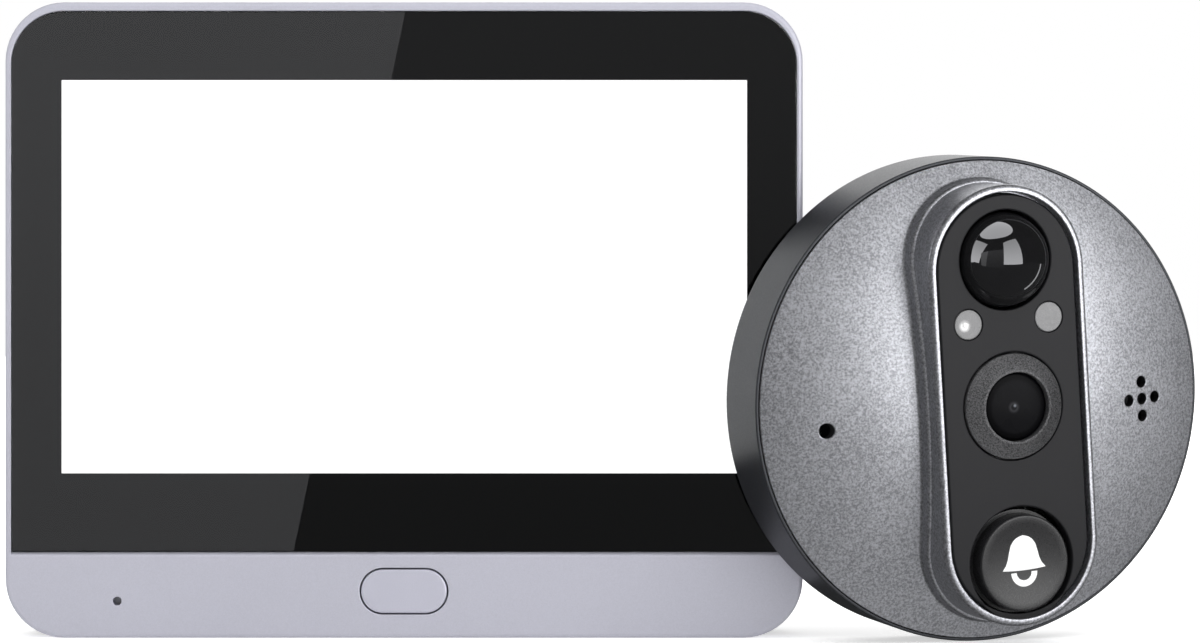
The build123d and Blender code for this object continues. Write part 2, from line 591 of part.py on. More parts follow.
case_head = MON_T - CASE_BORE
seat = Plane(facing(case_head).origin, x_dir=(1, 0, 0), z_dir=(0, 1, 0))
below = [(x, -z) for x, z in case_screws]
housing_screws = screws(seat, below, CASE_HEAD_R, CASE_HEAD_T, case_head - CHIN_WALL - GAP)
housing_screws.part.label = "housing_screws"
export_step(housing_screws.part, "parts/housing_screws.step")

# Door bracket of bent steel sheet, hooked into the monitor's back
plate_front = recess_floor + GAP
hook_front = pad_inside - GAP - PLATE_T
with BuildPart() as door_bracket:
    with BuildSketch(facing(plate_front + PLATE_T)):
        with Locations((0, plate_z)):
            RectangleRounded(plate_w, plate_h, PLATE_R)
        for x, z in hooks:
            with Locations((x, z + HOOK_WINDOW / 2)):
                Rectangle(slot_w, HOOK_WINDOW, mode=Mode.SUBTRACT)
        with Locations((0, plate_z)):
            with GridLocations(door_screw_dx, door_screw_dz, 2, 2):
                Circle(DOOR_SCREW_R, mode=Mode.SUBTRACT)
        with Locations((-insert_u, cable_z), (insert_u, cable_z)):
            Circle(BOLT_HOLE_R, mode=Mode.SUBTRACT)
        with Locations((0, cable_z)):
            RectangleRounded(CABLE_W, CABLE_H, CABLE_CORNER_R, mode=Mode.SUBTRACT)
    extrude(amount=PLATE_T)
    with BuildSketch(facing(plate_front + PLATE_T)):
        for x, z in hooks:
            with Locations((x, z - PLATE_T / 2)):
                Rectangle(HOOK_W, PLATE_T)
    extrude(amount=plate_front + PLATE_T - hook_front)
    with BuildSketch(facing(hook_front + PLATE_T)):
        for x, z in hooks:
            with Locations((x, z + (HOOK_RISE - PLATE_T) / 2)):
                Rectangle(HOOK_W, HOOK_RISE + PLATE_T)
    extrude(amount=PLATE_T)
door_bracket.part.label = "door_bracket"
export_step(door_bracket.part, "parts/door_bracket.step")


# Where the camera unit stands: turned towards +X, leaning forwards on its rim, and rolled a little
def standing(direction):
    """A direction of the upright, forward-facing unit, turned to how it stands."""
    return direction.rotate(Axis.X, LEAN).rotate(Axis.Z, TURN)


lean, roll = radians(LEAN), radians(ROLL)
across = standing(Vector(cos(roll), 0, sin(roll)))
outward = standing(Vector(0, -1, 0))
rest_z = (RIM_H - RIM_EDGE_R) * sin(lean) + (UNIT_R - RIM_EDGE_R) * cos(lean) + RIM_EDGE_R
stands_at = (MON_W / 2 + UNIT_ASIDE, depth_y(UNIT_DEPTH), rest_z)
unit = Plane(origin=stands_at, x_dir=across, z_dir=outward)
section = Plane(origin=unit.origin, x_dir=unit.x_dir, z_dir=-unit.y_dir)
unit_axis = Axis(unit.origin, unit.z_dir)

cup_inner = UNIT_R - CUP_WALL
rebate_r = UNIT_R - REBATE
rebate_h = RIM_H - REBATE_D
shell_r = rebate_r - SHELL_GAP
shell_low = rebate_h + GASKET_T
dome_r = (UNIT_R**2 + DOME_RISE**2) / (2 * DOME_RISE)
dome_centre = RIM_H + DOME_RISE - dome_r

# Capsule, what looks out of it and what stands inside the unit
lip_h, shoulder_h = RIM_H + LIP_RISE, RIM_H + SHOULDER_RISE
lip_l = 2 * (shell_r - LIP_END)
panel_h = lip_h - PANEL_SET
ledge_h = panel_h - FACE_T
opening_l, opening_w = lip_l - 2 * LIP_WALL, LIP_W - 2 * LIP_WALL
cavity_l, cavity_w = opening_l - 2 * LEDGE_END, opening_w - 2 * LEDGE_SIDE
front_board_h = lip_h - FRONT_BOARD_DROP
board_face = front_board_h + FRONT_BOARD_T
pir_v = cavity_l / 2 - PIR_END - PIR_R - PIR_FLANGE
pir_centre_h = panel_h + PIR_PROUD - PIR_R
lamp_v = pir_v - LAMP_DROP
ring_bore_r = LENS_R + LENS_GAP
bell_step_r = BELL_R + BELL_STEP
bell_v = BELL_END + bell_step_r - cavity_l / 2
rim_inner = shell_r - SHELL_T
face_screw_r = rim_inner - FACE_SCREW_RIM - FACE_SCREW_POST_R
side_u = rim_inner - SPEAKER_RIM - DOOR_SPEAKER_R
boss_flange_r = BOSS_R + BOSS_FLANGE
pad_in_r = BOSS_R + PAD_IN
pad_out_r = face_screw_r - SCREW_HEAD_R - GAP - PAD_OUT


def at(height):
    """Plane across the unit's axis, this far outwards from its back plane."""
    return unit.offset(height)


def dome_height(radius, under=0):
    """Height of the dome, or of a surface this far under it, at a distance from the axis."""
    return dome_centre + ((dome_r - under) ** 2 - radius**2) ** 0.5


def on_dome(edge):
    """Whether an edge lies on the dome's outer sphere."""
    points = [edge.position_at(share) for share in (0, 0.5, 1)]
    return all(abs((point - at(dome_centre).origin).length - dome_r) < FIT for point in points)


def polar(radius, angles):
    """Points at these angles on a circle round the unit's axis."""
    return [(radius * cos(radians(angle)), radius * sin(radians(angle))) for angle in angles]


def evenly(count, first):
    """Angles of this many points all round, from the first one on."""
    return [first + 360 / count * turn for turn in range(count)]


def ring(inner, outer, low, high):
    """Half section of a plain ring round the unit's axis."""
    with Locations(((inner + outer) / 2, (low + high) / 2)):
        Rectangle(outer - inner, high - low)


# Housing cup with its side wall, which lies against the door
face_screw_angles = [half_turn + sign * FACE_SCREW_ANGLE for half_turn in (0, 180) for sign in (1, -1)]
face_screw_points = polar(face_screw_r, face_screw_angles)
post_points = polar(POST_RING_R, evenly(POST_COUNT, POST_TURN))
flange_points = polar((BOSS_R + boss_flange_r) / 2, evenly(BOSS_SCREW_COUNT, BOSS_SCREW_TURN))
board_top = DOOR_BOARD_H + DOOR_BOARD_T
with BuildPart() as door_housing:
    with BuildSketch(section):
        ring(0, UNIT_R, 0, RIM_H)
        fillet(vertices().group_by(Axis.X)[-1].sort_by(Axis.Y)[-1], RIM_EDGE_R)
        fillet(vertices().group_by(Axis.X)[-1].sort_by(Axis.Y)[0], BACK_RIM_R)
        with Locations((cup_inner / 2, (CUP_FLOOR + RIM_H) / 2)):
            Rectangle(cup_inner, RIM_H - CUP_FLOOR, mode=Mode.SUBTRACT)
        with Locations((rebate_r / 2, (rebate_h + RIM_H) / 2)):
            Rectangle(rebate_r, REBATE_D, mode=Mode.SUBTRACT)
        with Locations(((pad_in_r + pad_out_r) / 2, PAD_SINK / 2)):
            Rectangle(pad_out_r - pad_in_r, PAD_SINK, mode=Mode.SUBTRACT)
    revolve(axis=unit_axis)
    with BuildSketch(at(CUP_FLOOR)):
        with Locations(*post_points):
            Circle(POST_R)
    extrude(amount=DOOR_BOARD_H - CUP_FLOOR)
    with BuildSketch(at(DOOR_BOARD_H)):
        with Locations(*post_points):
            Circle(SCREW_R + FIT)
    extrude(amount=CUP_FLOOR - DOOR_BOARD_H, mode=Mode.SUBTRACT)
    with BuildSketch(at(0)):
        Circle(BOSS_R + FIT)
        with Locations(*face_screw_points):
            Circle(SCREW_R + FIT)
    extrude(amount=CUP_FLOOR, mode=Mode.SUBTRACT)
    with BuildSketch(at(0)):
        with Locations(*face_screw_points):
            Circle(SCREW_HEAD_R + GAP)
    extrude(amount=FACE_HEAD_SINK, mode=Mode.SUBTRACT)
    with BuildSketch(at(CUP_FLOOR)):
        with Locations(*flange_points):
            Circle(SCREW_R + FIT)
    extrude(amount=-BOSS_SCREW_DEPTH, mode=Mode.SUBTRACT)
door_housing.part.label = "door_housing"
export_step(door_housing.part, "parts/door_housing.step")

with BuildPart() as face_gasket:
    with BuildSketch(section):
        ring(cup_inner, shell_r, rebate_h, shell_low)
    revolve(axis=unit_axis)
face_gasket.part.label = "face_gasket"
export_step(face_gasket.part, "parts/face_gasket.step")

# Domed face shell with its raised capsule
speaker_top = board_top + DOOR_SPEAKER_T
with BuildPart() as face_shell:
    with BuildSketch(section):
        with BuildLine():
            apex, edge = (0, dome_height(0)), (shell_r, dome_height(shell_r))
            under, inner = (0, dome_height(0, SHELL_T)), (rim_inner, dome_height(rim_inner, SHELL_T))
            RadiusArc(apex, edge, dome_r)
            Polyline(edge, (shell_r, shell_low), (rim_inner, shell_low), inner)
            RadiusArc(inner, under, -(dome_r - SHELL_T))
            Line(under, apex)
        make_face()
        fillet(vertices().group_by(Axis.X)[-1].sort_by(Axis.Y)[-1], SHELL_EDGE_R)
    revolve(axis=unit_axis)
    # Lower step of the capsule, whose foot flares into the dome
    with BuildSketch(at(RIM_H)):
        SlotOverall(lip_l + 2 * SHOULDER_OUT, LIP_W + 2 * SHOULDER_OUT, rotation=90)
    extrude(amount=shoulder_h - RIM_H)
    foot = [edge for edge in face_shell.edges(Select.LAST) if on_dome(edge)]
    fillet(foot, FLARE_R)
    shoulder = face_shell.faces().filter_by(Plane(unit.origin, z_dir=unit.z_dir)).sort_by(unit_axis)[-1]
    fillet(shoulder.edges(), SHOULDER_R)
    # Upper step, up to the lip
    with BuildSketch(at(shoulder_h)):
        SlotOverall(lip_l, LIP_W, rotation=90)
    extrude(amount=lip_h - shoulder_h)
    # Hollow of the capsule and the panel's seat
    with BuildSketch(at(shell_low)):
        SlotOverall(cavity_l, cavity_w, rotation=90)
    extrude(amount=lip_h - shell_low, mode=Mode.SUBTRACT)
    with BuildSketch(at(ledge_h)):
        SlotOverall(opening_l, opening_w, rotation=90)
    extrude(amount=lip_h - ledge_h, mode=Mode.SUBTRACT)
    fillet(face_shell.faces().sort_by(unit_axis)[-1].edges(), LIP_EDGE_R)
    # Posts for the screws from behind, and the collar that holds the speaker
    with BuildSketch(at(CUP_FLOOR)):
        with Locations(*face_screw_points):
            Circle(FACE_SCREW_POST_R)
    extrude(amount=dome_height(face_screw_r, SHELL_T / 2) - CUP_FLOOR)
    with BuildSketch(at(CUP_FLOOR)):
        with Locations(*face_screw_points):
            Circle(SCREW_R + FIT)
    extrude(amount=SCREW_L, mode=Mode.SUBTRACT)
    with BuildSketch(at(speaker_top + COLLAR_GAP)):
        with Locations((side_u, SIDE_V)):
            Circle(DOOR_SPEAKER_R)
            Circle(DOOR_SPEAKER_R - COLLAR_WALL, mode=Mode.SUBTRACT)
    extrude(until=Until.NEXT)
    # Holes for the speaker and the microphone
    with BuildSketch(at(DOOR_BOARD_H)):
        with Locations((side_u, SIDE_V)):
            Circle(HOLE_R)
            with PolarLocations(HOLE_PITCH, HOLES_ROUND):
                Circle(HOLE_R)
        with Locations((-side_u, SIDE_V)):
            Circle(DOOR_MIC_HOLE_R)
    extrude(amount=lip_h - DOOR_BOARD_H, mode=Mode.SUBTRACT)
face_shell.part.label = "face_shell"
export_step(face_shell.part, "parts/face_shell.step")

# Screws that pull the face against the gasket, from behind
behind = Plane(unit.origin, x_dir=unit.x_dir, z_dir=-unit.z_dir)
sunk = behind.offset(-FACE_HEAD_SINK)
sunk_points = [(u, -v) for u, v in face_screw_points]
face_screws = screws(sunk, sunk_points, SCREW_HEAD_R, FACE_HEAD_SINK, CUP_FLOOR - FACE_HEAD_SINK + SCREW_L)
face_screws.part.label = "face_screws"
export_step(face_screws.part, "parts/face_screws.step")

# Dark panel of the capsule, with its holes and the posts that press on the board behind it
face_post_u = cavity_w / 2 - FACE_POST_IN
face_post_rows = (lamp_v - FACE_POST_BELOW, bell_v + FACE_POST_ABOVE)
face_posts = [(u, v) for u in (-face_post_u, face_post_u) for v in face_post_rows]
with BuildPart() as front_panel:
    with BuildSketch(at(ledge_h)):
        SlotOverall(opening_l - 2 * PANEL_GAP, opening_w - 2 * PANEL_GAP, rotation=90)
        with Locations((0, pir_v)):
            Circle(PIR_R + PIR_RING, mode=Mode.SUBTRACT)
        with Locations((-LAMP_U, lamp_v), (LAMP_U, lamp_v)):
            Circle(LAMP_R + FIT, mode=Mode.SUBTRACT)
        Circle(RING_R + GAP, mode=Mode.SUBTRACT)
        with Locations((0, bell_v)):
            Circle(BELL_R + BELL_RING, mode=Mode.SUBTRACT)
    extrude(amount=FACE_T)
    with BuildSketch(at(board_face)):
        with Locations(*face_posts):
            Circle(FACE_POST_R)
    extrude(amount=ledge_h - board_face)
front_panel.part.label = "front_panel"
export_step(front_panel.part, "parts/front_panel.step")

# Board behind the panel
with BuildPart() as front_board:
    with BuildSketch(at(front_board_h)):
        SlotOverall(cavity_l - 2 * GAP, cavity_w - 2 * GAP, rotation=90)
        Circle(LENS_R + LOOSE, mode=Mode.SUBTRACT)
    extrude(amount=FRONT_BOARD_T)
front_board.part.label = "front_board"
export_step(front_board.part, "parts/front_board.step")

# Motion sensor: a can on the board, under a thin black dome
pir_axis = Axis(at(0).from_local_coords((0, pir_v, 0)), unit.z_dir)
dome_inner = PIR_R - PIR_SKIN
with BuildPart() as pir_lens:
    with BuildSketch(Plane(pir_axis.position, x_dir=section.x_dir, z_dir=section.z_dir)):
        with BuildLine():
            Line((0, pir_centre_h + dome_inner), (0, pir_centre_h + PIR_R))
            RadiusArc((0, pir_centre_h + PIR_R), (PIR_R, pir_centre_h), PIR_R)
            Polyline(
                (PIR_R, pir_centre_h),
                (PIR_R, board_face + PIR_FLANGE_T),
                (PIR_R + PIR_FLANGE, board_face + PIR_FLANGE_T),
                (PIR_R + PIR_FLANGE, board_face),
                (dome_inner, board_face),
                (dome_inner, pir_centre_h),
            )
            RadiusArc((dome_inner, pir_centre_h), (0, pir_centre_h + dome_inner), -dome_inner)
        make_face()
    revolve(axis=pir_axis)
pir_lens.part.label = "pir_lens"
export_step(pir_lens.part, "parts/pir_lens.step")

with BuildPart() as pir_sensor:
    with BuildSketch(at(board_face)):
        with Locations((0, pir_v)):
            Circle(PIR_BASE_R)
    extrude(amount=PIR_BASE_T)
    with BuildSketch(at(board_face)):
        with Locations((0, pir_v)):
            Circle(PIR_CAN_R)
    extrude(amount=PIR_CAN_H)
pir_sensor.part.label = "pir_sensor"
export_step(pir_sensor.part, "parts/pir_sensor.step")


# Two round windows with the lamp and the light sensor behind them
def window(u):
    """Stepped round window whose stem ends just in front of what stands behind it."""
    with BuildPart() as made:
        with BuildSketch(at(panel_h - LAMP_SET)):
            with Locations((u, lamp_v)):
                Circle(LAMP_R)
        extrude(amount=-LAMP_T)
        with BuildSketch(at(panel_h - LAMP_SET)):
            with Locations((u, lamp_v)):
                Circle(LAMP_R - LAMP_STEP)
        extrude(amount=board_face + LED_T + GAP - panel_h + LAMP_SET)
    return made


def package(u):
    """Small block on the board behind a window."""
    with BuildPart() as made:
        with BuildSketch(at(board_face)):
            with Locations((u, lamp_v)):
                Rectangle(LED_L, LED_W)
        extrude(amount=LED_T)
    return made


lamp_window, sensor_window = window(-LAMP_U), window(LAMP_U)
lamp_window.part.label = "lamp_window"
export_step(lamp_window.part, "parts/lamp_window.step")
sensor_window.part.label = "sensor_window"
export_step(sensor_window.part, "parts/sensor_window.step")
white_lamp, light_sensor = package(-LAMP_U), package(LAMP_U)
white_lamp.part.label = "white_lamp"
export_step(white_lamp.part, "parts/white_lamp.step")
light_sensor.part.label = "light_sensor"
export_step(light_sensor.part, "parts/light_sensor.step")

# Camera: cone ring, front lens, barrel and sensor block
ring_top = panel_h + RING_PROUD + RING_RISE
flange_top = ledge_h - GAP
with BuildPart() as lens_ring:
    with BuildSketch(section):
        with BuildLine():
            Polyline(
                (ring_bore_r, flange_top - RING_FLANGE_T),
                (RING_R + RING_FLANGE, flange_top - RING_FLANGE_T),
                (RING_R + RING_FLANGE, flange_top),
                (RING_R, flange_top),
                (RING_R, panel_h + RING_PROUD),
                (ring_bore_r + RING_LAND, ring_top),
                (ring_bore_r, ring_top),
                close=True,
            )
        make_face()
        fillet(vertices().group_by(Axis.Y)[-1], RING_EDGE_R)
    revolve(axis=unit_axis)
lens_ring.part.label = "lens_ring"
export_step(lens_ring.part, "parts/lens_ring.step")

lens_apex = ring_top - GAP
lens_edge = lens_apex - LENS_BULGE
lens_low = lens_edge - LENS_T
bulge_r = (LENS_R**2 + LENS_BULGE**2) / (2 * LENS_BULGE)
with BuildPart() as lens_glass:
    with BuildSketch(section):
        with BuildLine():
            Polyline((0, lens_apex), (0, lens_low), (LENS_R, lens_low), (LENS_R, lens_edge))
            RadiusArc((LENS_R, lens_edge), (0, lens_apex), -bulge_r)
        make_face()
    revolve(axis=unit_axis)
lens_glass.part.label = "lens_glass"
export_step(lens_glass.part, "parts/lens_glass.step")

module_top = board_top + MODULE_T
with BuildPart() as lens_barrel:
    with BuildSketch(at(module_top)):
        Circle(LENS_R)
    extrude(amount=lens_low - module_top)
lens_barrel.part.label = "lens_barrel"
export_step(lens_barrel.part, "parts/lens_barrel.step")

with BuildPart() as camera_module:
    with BuildSketch(at(board_top)):
        Rectangle(MODULE, MODULE)
    extrude(amount=MODULE_T)
    chamfer(camera_module.faces().sort_by(unit_axis)[-1].edges(), MODULE_EDGE)
camera_module.part.label = "camera_module"
export_step(camera_module.part, "parts/camera_module.step")

# Bell button: a cap with a step and two ears that stay under the panel
bell_top = panel_h + BELL_PROUD
bell_low = panel_h - BELL_BOTTOM
ear_top = ledge_h - GAP


def bell_outline():
    """A plain bell over the half ring of its clapper, as flat outlines."""
    half, height = ICON_W / 2, ICON_TOP - ICON_BRIM
    right = [(half * out, ICON_BRIM + height * up) for out, up in BELL_FLANK]
    left = [(-u, v) for u, v in reversed(right)]
    ring_v = ICON_BRIM - ICON_SAG - CLAPPER_GAP
    with BuildSketch() as drawn:
        with BuildLine():
            ThreePointArc((-half, ICON_BRIM), (0, ICON_BRIM - ICON_SAG), (half, ICON_BRIM))
            Spline((half, ICON_BRIM), *right, (0, ICON_TOP), tangents=((-1, 1), (-1, 0)))
            Spline((0, ICON_TOP), *left, (-half, ICON_BRIM), tangents=((-1, 0), (-1, -1)))
        make_face()
        with BuildLine():
            CenterArc((0, ring_v), CLAPPER_R, 180, 180)
            CenterArc((0, ring_v), CLAPPER_R - CLAPPER_T, 180, 180)
            Line((-CLAPPER_R, ring_v), (CLAPPER_T - CLAPPER_R, ring_v))
            Line((CLAPPER_R, ring_v), (CLAPPER_R - CLAPPER_T, ring_v))
        make_face()
    return drawn.sketch


bell = bell_outline()
with BuildPart() as bell_icon:
    with BuildSketch(at(bell_top - ICON_T)):
        with Locations((0, bell_v)):
            add(bell)
    extrude(amount=ICON_T)
bell_icon.part.label = "bell_icon"
export_step(bell_icon.part, "parts/bell_icon.step")

with BuildPart() as bell_button:
    with BuildSketch(at(bell_low)):
        with Locations((0, bell_v)):
            Circle(BELL_R)
    extrude(amount=bell_top - bell_low)
    fillet(bell_button.faces().sort_by(unit_axis)[-1].edges(), BELL_EDGE_R)
    with BuildSketch(at(bell_low)):
        with Locations((0, bell_v)):
            Circle(bell_step_r)
    extrude(amount=BELL_STEP_H)
    with BuildSketch(at(ear_top - BELL_EAR_T)):
        with Locations((0, bell_v)):
            Rectangle(cavity_w - 2 * BELL_EAR_GAP, BELL_EAR_W)
    extrude(amount=BELL_EAR_T)
    with BuildSketch(at(bell_top)):
        with Locations((0, bell_v)):
            add(bell)
    extrude(amount=-ICON_T, mode=Mode.SUBTRACT)
bell_button.part.label = "bell_button"
export_step(bell_button.part, "parts/bell_button.step")

bell_pin_top = bell_low - BELL_TRAVEL - PIN_GAP
with BuildPart() as bell_switch:
    with BuildSketch(at(board_face)):
        with Locations((0, bell_v)):
            RectangleRounded(TACT, TACT, TACT_CORNER_R)
    extrude(amount=bell_pin_top - TACT_PIN_H - board_face)
    with BuildSketch(at(board_face)):
        with Locations((0, bell_v)):
            Circle(TACT_PIN_R)
    extrude(amount=bell_pin_top - board_face)
bell_switch.part.label = "bell_switch"
export_step(bell_switch.part, "parts/bell_switch.step")

# Round board on the cup's posts, and what it carries
with BuildPart() as door_board:
    with BuildSketch(at(DOOR_BOARD_H)):
        Circle(cup_inner - DOOR_BOARD_RIM)
        with Locations(*face_screw_points):
            Circle(FACE_SCREW_POST_R + LOOSE, mode=Mode.SUBTRACT)
        with Locations(*post_points):
            Circle(SCREW_R + GAP, mode=Mode.SUBTRACT)
    extrude(amount=DOOR_BOARD_T)
door_board.part.label = "door_board"
export_step(door_board.part, "parts/door_board.step")

post_screw_l = board_top - CUP_FLOOR
door_board_screws = screws(at(board_top), post_points, SCREW_HEAD_R, SCREW_HEAD_T, post_screw_l)
door_board_screws.part.label = "door_board_screws"
export_step(door_board_screws.part, "parts/door_board_screws.step")

with BuildPart() as outdoor_speaker:
    with BuildSketch(at(board_top)):
        with Locations((side_u, SIDE_V)):
            Circle(DOOR_SPEAKER_R)
    extrude(amount=DOOR_SPEAKER_T)
outdoor_speaker.part.label = "outdoor_speaker"
export_step(outdoor_speaker.part, "parts/outdoor_speaker.step")

with BuildPart() as outdoor_microphone:
    with BuildSketch(at(board_top)):
        with Locations((-side_u, SIDE_V)):
            Circle(DOOR_MIC_R)
    extrude(amount=DOOR_MIC_T)
outdoor_microphone.part.label = "outdoor_microphone"
export_step(outdoor_microphone.part, "parts/outdoor_microphone.step")

mic_top = board_top + DOOR_MIC_T
boot_reach = (side_u**2 + SIDE_V**2) ** 0.5 + BOOT_R
with BuildPart() as microphone_boot:
    with BuildSketch(at(mic_top)):
        with Locations((-side_u, SIDE_V)):
            Circle(BOOT_R)
            Circle(BOOT_BORE_R, mode=Mode.SUBTRACT)
    extrude(amount=dome_height(boot_reach, SHELL_T) - mic_top)
microphone_boot.part.label = "microphone_boot"
export_step(microphone_boot.part, "parts/microphone_boot.step")

with BuildPart() as board_link:
    with BuildSketch(at(board_top)):
        with Locations((0, pir_v - LINK_DROP)):
            Rectangle(LINK_L, LINK_W)
    extrude(amount=front_board_h - board_top)
board_link.part.label = "board_link"
export_step(board_link.part, "parts/board_link.step")

# Metal boss with its flange inside the cup, and the two threaded inserts in its end
with BuildPart() as mount_boss:
    with BuildSketch(at(-BOSS_L)):
        Circle(BOSS_R)
    extrude(amount=BOSS_L + CUP_FLOOR + BOSS_FLANGE_T)
    chamfer(mount_boss.faces().sort_by(unit_axis)[0].edges(), BOSS_EDGE)
    with BuildSketch(at(CUP_FLOOR)):
        Circle(boss_flange_r)
    extrude(amount=BOSS_FLANGE_T)
    with BuildSketch(at(CUP_FLOOR)):
        with Locations(*flange_points):
            Circle(SCREW_R + FIT)
    extrude(amount=BOSS_FLANGE_T, mode=Mode.SUBTRACT)
    with BuildSketch(at(-BOSS_L)):
        RectangleRounded(2 * (insert_u - INSERT_R - OUTLET_WALL), OUTLET_H, OUTLET_CORNER_R)
    extrude(amount=BOSS_L + CUP_FLOOR + BOSS_FLANGE_T, mode=Mode.SUBTRACT)
    with BuildSketch(at(-BOSS_L)):
        with Locations((-insert_u, 0), (insert_u, 0)):
            Circle(INSERT_R)
    extrude(amount=INSERT_L, mode=Mode.SUBTRACT)
mount_boss.part.label = "mount_boss"
export_step(mount_boss.part, "parts/mount_boss.step")

with BuildPart() as threaded_inserts:
    with BuildSketch(at(-BOSS_L)):
        with Locations((-insert_u, 0), (insert_u, 0)):
            Circle(INSERT_R)
            Circle(INSERT_BORE_R, mode=Mode.SUBTRACT)
    extrude(amount=INSERT_L)
threaded_inserts.part.label = "threaded_inserts"
export_step(threaded_inserts.part, "parts/threaded_inserts.step")

flange_face = at(CUP_FLOOR + BOSS_FLANGE_T)
boss_screw_l = BOSS_FLANGE_T + BOSS_SCREW_DEPTH
boss_screws = screws(flange_face, flange_points, SCREW_HEAD_R, SCREW_HEAD_T, boss_screw_l)
boss_screws.part.label = "boss_screws"
export_step(boss_screws.part, "parts/boss_screws.step")

# Foam ring that seals the cup against the door
with BuildPart() as door_pad:
    with BuildSketch(section):
        ring(pad_in_r + GAP, pad_out_r - GAP, PAD_SINK - PAD_T, PAD_SINK)
    revolve(axis=unit_axis)
door_pad.part.label = "door_pad"
export_step(door_pad.part, "parts/door_pad.step")
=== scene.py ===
"""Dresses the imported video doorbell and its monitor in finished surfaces, in a small studio."""
import json

import bmesh
import bpy
import numpy as np
from mathutils.geometry import delaunay_2d_cdt, tessellate_polygon
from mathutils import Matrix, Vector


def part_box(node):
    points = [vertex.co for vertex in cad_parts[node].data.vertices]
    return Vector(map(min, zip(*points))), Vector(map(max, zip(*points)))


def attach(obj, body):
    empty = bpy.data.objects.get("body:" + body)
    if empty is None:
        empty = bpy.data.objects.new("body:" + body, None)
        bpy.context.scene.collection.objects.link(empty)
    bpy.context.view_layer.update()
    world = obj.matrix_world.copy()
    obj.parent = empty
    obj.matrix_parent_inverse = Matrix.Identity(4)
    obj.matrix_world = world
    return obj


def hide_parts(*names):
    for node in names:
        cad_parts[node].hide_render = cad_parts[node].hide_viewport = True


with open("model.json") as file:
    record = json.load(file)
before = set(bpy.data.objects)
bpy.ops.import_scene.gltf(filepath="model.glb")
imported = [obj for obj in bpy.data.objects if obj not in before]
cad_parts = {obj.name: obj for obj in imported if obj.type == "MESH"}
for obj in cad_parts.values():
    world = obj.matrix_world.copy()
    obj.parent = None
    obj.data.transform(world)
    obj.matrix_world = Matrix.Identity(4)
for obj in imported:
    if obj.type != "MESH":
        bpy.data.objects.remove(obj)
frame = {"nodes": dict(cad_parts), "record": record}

bl_info = {
    "name": "Video Doorbell with Monitor",
    "version": (1, 0, 0),
    "blender": (4, 5, 0),
    "location": "View3D > Sidebar > Doorbell",
    "description": "Makes the doorbell's camera unit and its monitor, piece by piece",
    "category": "Object",
}

# Millimetres to metres, the width of the strips that keep flats flat beside a round, the distance
# in metres under which points are one, the area under which a triangle is dropped, what keeps a
# cross's angles and widths off zero, and the angle in degrees over which an edge stays sharp
MM = 0.001
HOLD = 0.03
WELD = 0.000002
SLIVER = 1e-9
TINY = 0.001
SHARP = 32

# Points round a small circle, a sound hole, a large hole in the capsule's panel, what looks out of
# that hole, and the camera unit's rim
SMALL_COUNT, SOUND_COUNT, HOLE_COUNT, FINE_COUNT, RIM_COUNT = 48, 40, 96, 128, 256
# Rows of a field of even triangles are this share of a side apart, and the field keeps this share
# of a side clear of its outlines
ROW_SHARE, FIELD_CLEAR = 0.866, 0.45

# Monitor, in millimetres: the outlines of the frame, of the glass's seat in it and of the glass,
# each as half its width, its low and its high edge, and the rounds of its low and high corners
FRAME_LINE = (55.2, 0.0, 88.0, 8.2, 8.2)
SEAT_LINE = (54.4, 11.85, 86.8, 0.05, 7.35)
GLASS_LINE = (54.35, 11.9, 86.75, 0.3, 7.3)
# Heights from the frame's face, and how far its back edge and the seat's ledge stand inwards
FRAME_BACK, FRAME_STEP, SEAT_FLOOR, LEDGE_IN = -5.0, 0.3, -1.35, 0.9
GLASS_FACE, GLASS_BACK = -0.1, -1.2
# The seat's rows from the face to its floor: how far each is drawn out from the sides and from the
# low edge, and its height
SEAT_ROWS = ((0.16, 0.49, 0.0), (0.13, 0.46, 0.0), (0.10, 0.43, -0.01), (0.04, 0.37, -0.05),
             (0.0, 0.33, -0.12), (0.0, 0.04, -0.41), (0.0, 0.0, -0.47), (0.0, 0.0, SEAT_FLOOR))
# Long button and its hole in the chin: the centre, each one's length and width, and the hole's
# round, then how far within its edge the button's top is flat, and the flange behind. After it the
# microphone's hole: its centre, radius and round.
CHIN_BUTTON, BUTTON, BUTTON_HOLE, BUTTON_EASE = (0, 6.47), (11.9, 6.05), (12.3, 6.45), 0.16
BUTTON_FLAT, BUTTON_FLANGE, FLANGE_FRONT, FLANGE_BACK = -2.0, 1.2, -2.8, -3.6
CHIN_MIC, CHIN_MIC_R, CHIN_MIC_EASE = (-39.7, 5.1), 0.6, 0.12

# Screws: their centres on the monitor's back, and for each kind the head's radius, the height of
# its top, its thickness and the shank's length
CASE_SCREWS = ((-47.0, 7.0), (47.0, 7.0))
CASE_SCREW, FACE_SCREW = (2.1, -3.1, 1.4, 9.2), (1.9, 0.0, 1.0, 5.5)
# How far the head's flat middle stands within its edge, the edge's fall and round, the shank's
# radius, its point, and the cross: its arm's share of the head's radius and its half width
HEAD_IN, HEAD_FALL, HEAD_ROUND, SHANK_R, SCREW_POINT = 0.9, 0.12, 0.35, 0.85, 0.3
CROSS_ARM, CROSS_HALF = 0.62, 0.24
# The cross's recess from its rim to its floor: the share of its size, and its height
CROSS_ROWS = ((1.0, 0.0), (0.97, -0.03), (0.8, -0.3), (0.45, -0.62), (0.0, -0.66))

# Boss behind the camera unit's back plane: its length, and its two threaded inserts, with their
# length, bore, thread depth and pitch, radius, chamfer and distance from the middle
BOSS_LENGTH = 12.0
INSERT_L, INSERT_BORE, THREAD_DEPTH, THREAD_PITCH = 8.0, 1.25, 0.14, 0.5
INSERT_R, INSERT_CHAMFER, INSERT_U = 1.9, 0.05, 5.0

